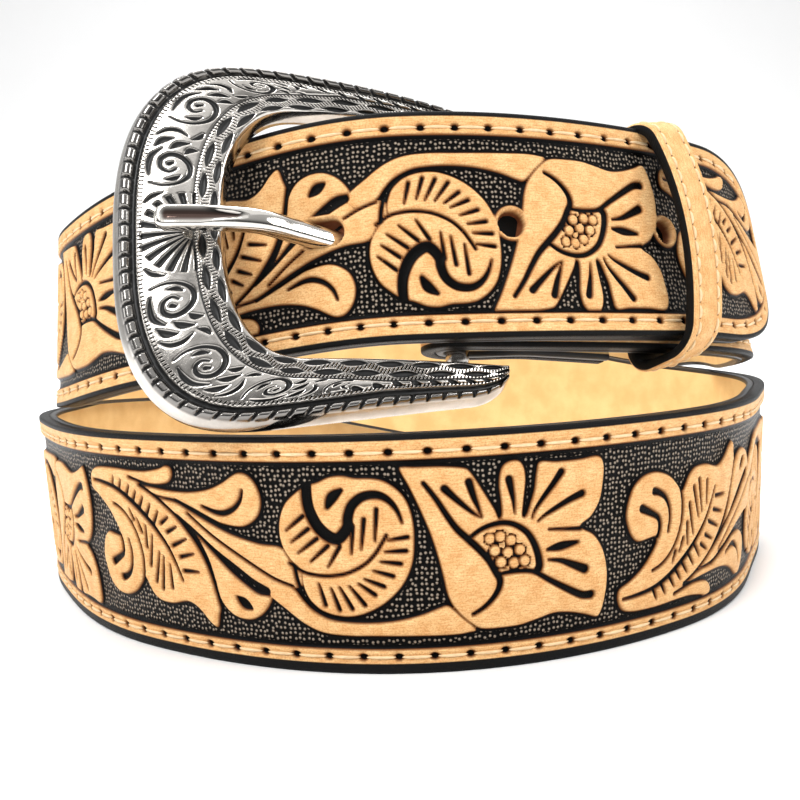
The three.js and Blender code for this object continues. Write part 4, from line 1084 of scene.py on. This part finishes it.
# Scallops: a milled wave between the rim and the straight milled line
WAVE_PITCH = 7.2
wave = 2.3 + 0.5 * np.cos(2 * math.pi * from_middle / WAVE_PITCH)
crest = (from_middle / WAVE_PITCH + 0.5) % 1 - 0.5
trough = (from_middle / WAVE_PITCH) % 1 - 0.5
outside = np.abs(inset - 3.25) - 0.62 * (1 - (trough * WAVE_PITCH / 2.9) ** 2)
inside = np.abs(inset - 1.3) - 0.58 * (1 - (crest * WAVE_PITCH / 2.9) ** 2)
wave_ink = np.minimum(outside, inside)
rope_phase = (run / C_LENGTH * ROPE_COUNT) % 1
rope_gap = np.abs(rope_phase - 0.5) * C_LENGTH / ROPE_COUNT
rope_gap = 0.5 * C_LENGTH / ROPE_COUNT - rope_gap
in_rope = (away > 1.3) & (away < 3.3)
channel_ink = np.abs(away - 3.75) - 0.42
rope_ink = np.where(in_rope, rope_gap - 0.17, 3.0)
line_ink = np.abs(inset - 4.55) - 0.1
nickel_ink = np.minimum.reduce([scroll_ink, wave_ink, channel_ink, rope_ink, line_ink])
nickel_ink = np.clip(nickel_ink, -1.5, 1.5)

# Heights over the middle of the casting, in millimetres
half_thick = 0.5 * FRAME_THICKNESS
skirt = -0.25 * half_thick + 1.25 * half_thick * np.clip(away / 1.3, 0, 1) ** 0.7
rope_round = 1.1 * np.sqrt(np.clip(1 - ((away - 2.3) / 1.0) ** 2, 0, 1))
rope_round = rope_round * (0.25 + 0.75 * soft_step(0.05, 0.5, rope_gap))
panel_dome = 1.0 + 0.25 * np.sin(math.pi * np.clip(panel_share, 0, 1))
panel_rise = soft_step(3.8, 4.5, away) * panel_dome
rim_round = -1.3 * (1 - np.sqrt(np.clip(1 - (1 - np.clip(inset / 0.9, 0, 1)) ** 2, 0, 1)))
carved = np.where(away > 4.1, 0.5 * (1 - soft_step(-0.3, 0.15, nickel_ink)), 0)
height = np.where(in_rope, half_thick + rope_round, skirt) + panel_rise - carved + rim_round
hatch = np.maximum(1 - soft_step(0.42, 0.58, np.abs(inset - wave)),
                   1 - soft_step(0.3, 0.42, np.abs(inset - 4.15)))
hatch = np.maximum(hatch, 1 - soft_step(0.3, 0.42, np.abs(away - 4.8)))
flat = (frame_outer[:, None] * (1 - share)[None, :, None]
        + frame_inner[:, None] * share[None, :, None])
front_points = np.concatenate([flat, (arch_at(flat[..., 0]) + height)[..., None]], -1)
# Columns of the back and sides: share of the width, and height
back = np.array([(1, 0.1), (1, -1.35), (0.97, -1.65), (0.85, -1.7), (0.5, -1.7), (0.15, -1.7),
                 (0.03, -1.6), (0, -1.3)])
back_flat = (frame_outer[:, None] * (1 - back[:, 0])[None, :, None]
             + frame_inner[:, None] * back[:, 0][None, :, None])
back_height = arch_at(back_flat[..., 0]) + back[:, 1]
back_points = np.concatenate([back_flat, back_height[..., None]], -1)
section = np.concatenate([front_points, back_points], 1)
frame_points = bar_place + section @ buckle_basis.T
frame_mesh = grid_mesh("buckle", frame_points[:, ::-1] * MM, closed_v=True, caps=True)


def with_back(values, at_back):
    """Values of the front columns, with one number for all the back columns."""
    filler = np.full((len(values), len(back)), at_back)
    return np.concatenate([np.broadcast_to(values, away.shape), filler], 1)[:, ::-1]


attribute(frame_mesh, "ink", with_back(nickel_ink, 1.5))
attribute(frame_mesh, "hatch", with_back(hatch, 0.0))
attribute(frame_mesh, "run", with_back(run, 0.0))
attribute(frame_mesh, "patina", with_back(np.where(in_rope, 1.0, 0.0), 0.3))
antique_nickel, nickel, add, link = shader("antique nickel")
ink = add("Attribute", attribute_name="ink").outputs["Fac"]
hatch_share = add("Attribute", attribute_name="hatch").outputs["Fac"]
run_length = add("Attribute", attribute_name="run").outputs["Fac"]
coordinates = add("TexCoord")
tarnish = add("TexNoise", Scale=160.0, Detail=5.0, Roughness=0.6)
link(coordinates.outputs["Object"], tarnish.inputs["Vector"])
scratches = add("TexNoise", Scale=2200.0, Detail=3.0)
link(coordinates.outputs["Object"], scratches.inputs["Vector"])
mill = calculate(add, link, "SINE", calculate(add, link, "MULTIPLY", run_length,
                                              2 * math.pi / 0.72), 0.0)
mill_cut = calculate(add, link, "MULTIPLY", ramp(add, link, mill, -0.2, 0.6), hatch_share)
bright = blend(add, link, ramp(add, link, tarnish.outputs["Fac"], 0.3, 0.7),
               (0.42, 0.395, 0.365, 1), (0.62, 0.59, 0.55, 1))
patina = add("Attribute", attribute_name="patina").outputs["Fac"]
blackened = blend(add, link, calculate(add, link, "MULTIPLY", patina, 0.8), bright,
                  (0.13, 0.125, 0.12, 1))
milled = blend(add, link, mill_cut, blackened, (0.02, 0.018, 0.016, 1))
clean = ramp(add, link, ink, -0.03, 0.16)
link(blend(add, link, clean, (0.006, 0.006, 0.006, 1), milled), nickel.inputs["Base Color"])
link(ramp(add, link, ink, -0.05, 0.1, 0.2, 1.0), nickel.inputs["Metallic"])
link(calculate(add, link, "ADD", ramp(add, link, tarnish.outputs["Fac"], 0.3, 0.7, 0.10, 0.24),
               ramp(add, link, ink, -0.05, 0.15, 0.3, 0.0)), nickel.inputs["Roughness"])
bump = add("Bump", Strength=1.0, Distance=0.00022)
link(calculate(add, link, "SUBTRACT", calculate(add, link, "MULTIPLY", scratches.outputs["Fac"],
                                                0.04), mill_cut), bump.inputs["Height"])
link(bump.outputs["Normal"], nickel.inputs["Normal"])
add_piece("buckle_casting", frame_mesh, antique_nickel, ["buckle_frame"])

# Bar of the frame, cast with it, inside the fold of the strap
turns = np.arange(24) * 2 * math.pi / 24
bar_reach = np.linspace(-OPENING_HALF - 1.6, OPENING_HALF + 1.6, 12)
bar_points = np.zeros((12, 24, 3))
bar_points[..., 0] = 2.0 * np.cos(turns)
bar_points[..., 1] = bar_reach[:, None]
bar_points[..., 2] = 2.0 * np.sin(turns)
bar_mesh = grid_mesh("bar", (bar_place + bar_points @ bar_basis.T)[:, ::-1] * MM, closed_v=True,
                     caps=True)
attribute(bar_mesh, "ink", np.ones((12, 24)))
add_piece("buckle_bar", bar_mesh, antique_nickel, ["buckle_frame"])

# Prong: a polished nickel bar, rolled round the frame's bar at its root, bent
# up through the hole of the belt, and ground to a hollowed flat at its tip.
PRONG_REACH, PRONG_WIDTH, PRONG_TIP_WIDTH = 48.5, 3.5, 3.9
PRONG_DROP, PRONG_TURN = 1.8, -3.0
EYE_WIDTH, EYE_OUTER, EYE_INNER = 5.0, 4.0, 2.3
# Columns: along as a share of PRONG_REACH, rise as a share of FOLD_RADIUS
PRONG_SIDE = np.array([(0.04, 0.46), (0.12, 0.5), (0.26, 0.55), (0.36, 0.72), (0.46, 1.2),
                       (0.56, 1.72), (0.68, 2.3), (0.84, 2.48), (1.0, 2.49)])
prong_turn = np.array(Matrix.Rotation(math.radians(PRONG_TURN), 3, "Z"))
prong_basis = buckle_basis @ prong_turn
prong_place = bar_place - PRONG_DROP * buckle_basis[:, 1]
side_view = smooth_line(PRONG_SIDE * (-PRONG_REACH, FOLD_RADIUS), parts=16)
prong_steps = np.linalg.norm(np.diff(side_view, axis=0), axis=1)
prong_length = np.concatenate([[0], np.cumsum(prong_steps)])
# Rows crowd towards the tip, which is rounded over its last millimetres
prong_rows = np.concatenate([np.linspace(0, prong_length[-1] - 2.0, 150)[:-1],
                             prong_length[-1] - 2.0 + 2.0 * np.sin(np.linspace(0, 1.5, 14))])
line = np.column_stack([np.interp(prong_rows, prong_length, side_view[:, k]) for k in (0, 1)])
tangent = unit(np.gradient(line, prong_rows, axis=0))
above = np.column_stack([tangent[:, 1], -tangent[:, 0]])
to_tip = prong_length[-1] - prong_rows
swell = soft_step(0.5, 1.0, prong_rows / prong_length[-1])
ending = np.sqrt(np.clip(1 - (np.clip(2.0 - to_tip, 0, 2) / 2.0) ** 2, 0.003, 1)) ** 0.8
half_wide = 0.5 * (PRONG_WIDTH + (PRONG_TIP_WIDTH - PRONG_WIDTH) * swell) * ending
half_deep = 0.5 * PRONG_WIDTH * (1 - 0.12 * swell) * ending
# Section: superellipse, its top hollowed along the last 13 mm
turns = np.arange(64) * 2 * math.pi / 64
power = 2 / 3.0
round_x = np.sign(np.cos(turns)) * np.abs(np.cos(turns)) ** power
round_z = np.sign(np.sin(turns)) * np.abs(np.sin(turns)) ** power
hollow = soft_step(0.5, 2.0, to_tip) * soft_step(14.5, 12.5, to_tip)
hollow_half = 0.12 + 0.66 * np.clip((15.0 - to_tip) / 8.0, 0.05, 1)
groove = np.clip(1 - (round_x[None] / hollow_half[:, None]) ** 2, 0, 1)
groove = groove * (round_z > 0.3) * hollow[:, None]
wide = half_wide[:, None] * round_x
deep = half_deep[:, None] * round_z - 0.45 * groove
prong_points = np.stack([line[:, None, 0] + above[:, None, 0] * deep, wide,
                         line[:, None, 1] + above[:, None, 1] * deep], -1)
prong_points = prong_place + prong_points @ prong_basis.T
prong_mesh = grid_mesh("prong", prong_points[:, ::-1] * MM, closed_v=True, caps=True)
attribute(prong_mesh, "ink", (0.3 - 1.1 * groove)[:, ::-1])
polished_nickel, polish, add, link = shader("polished nickel")
coordinates = add("TexCoord")
handling = add("TexNoise", Scale=260.0, Detail=5.0)
link(coordinates.outputs["Object"], handling.inputs["Vector"])
ink = add("Attribute", attribute_name="ink").outputs["Fac"]
bright = blend(add, link, handling.outputs["Fac"], (0.60, 0.57, 0.53, 1), (0.76, 0.73, 0.68, 1))
link(blend(add, link, ramp(add, link, ink, -0.75, 0.0), (0.09, 0.06, 0.05, 1), bright),
     polish.inputs["Base Color"])
polish.inputs["Metallic"].default_value = 1.0
link(ramp(add, link, handling.outputs["Fac"], 0.3, 0.7, 0.06, 0.16), polish.inputs["Roughness"])
add_piece("prong_shank", prong_mesh, polished_nickel, ["prong"])
eye_turn = np.arange(48) * 2 * math.pi / 48
half = 0.5 * EYE_WIDTH
eye_section = np.array([(EYE_OUTER, -half + 0.4), (EYE_OUTER, half - 0.4),
                        (EYE_OUTER - 0.12, half - 0.12), (EYE_OUTER - 0.4, half),
                        (EYE_INNER, half), (EYE_INNER, -half), (EYE_OUTER - 0.4, -half),
                        (EYE_OUTER - 0.12, -half + 0.12)])
eye_points = np.stack([eye_section[:, 0] * np.cos(eye_turn)[:, None],
                       np.broadcast_to(eye_section[:, 1] - PRONG_DROP, (48, 8)),
                       eye_section[:, 0] * np.sin(eye_turn)[:, None]], -1)
eye_mesh = grid_mesh("eye", (bar_place + eye_points @ bar_basis.T) * MM, True, True)
attribute(eye_mesh, "ink", np.ones((48, 8)))
add_piece("prong_eye", eye_mesh, polished_nickel, ["prong"])

# Posts: two nickel screw posts that hold the turned-back end, one over the
# other, with flat heads; the turned solids stay and take the buckle's finish.
for name in ("turn_back_post_lower", "turn_back_post_upper"):
    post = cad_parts[name]
    for material_slot in post.material_slots:
        material_slot.material = polished_nickel
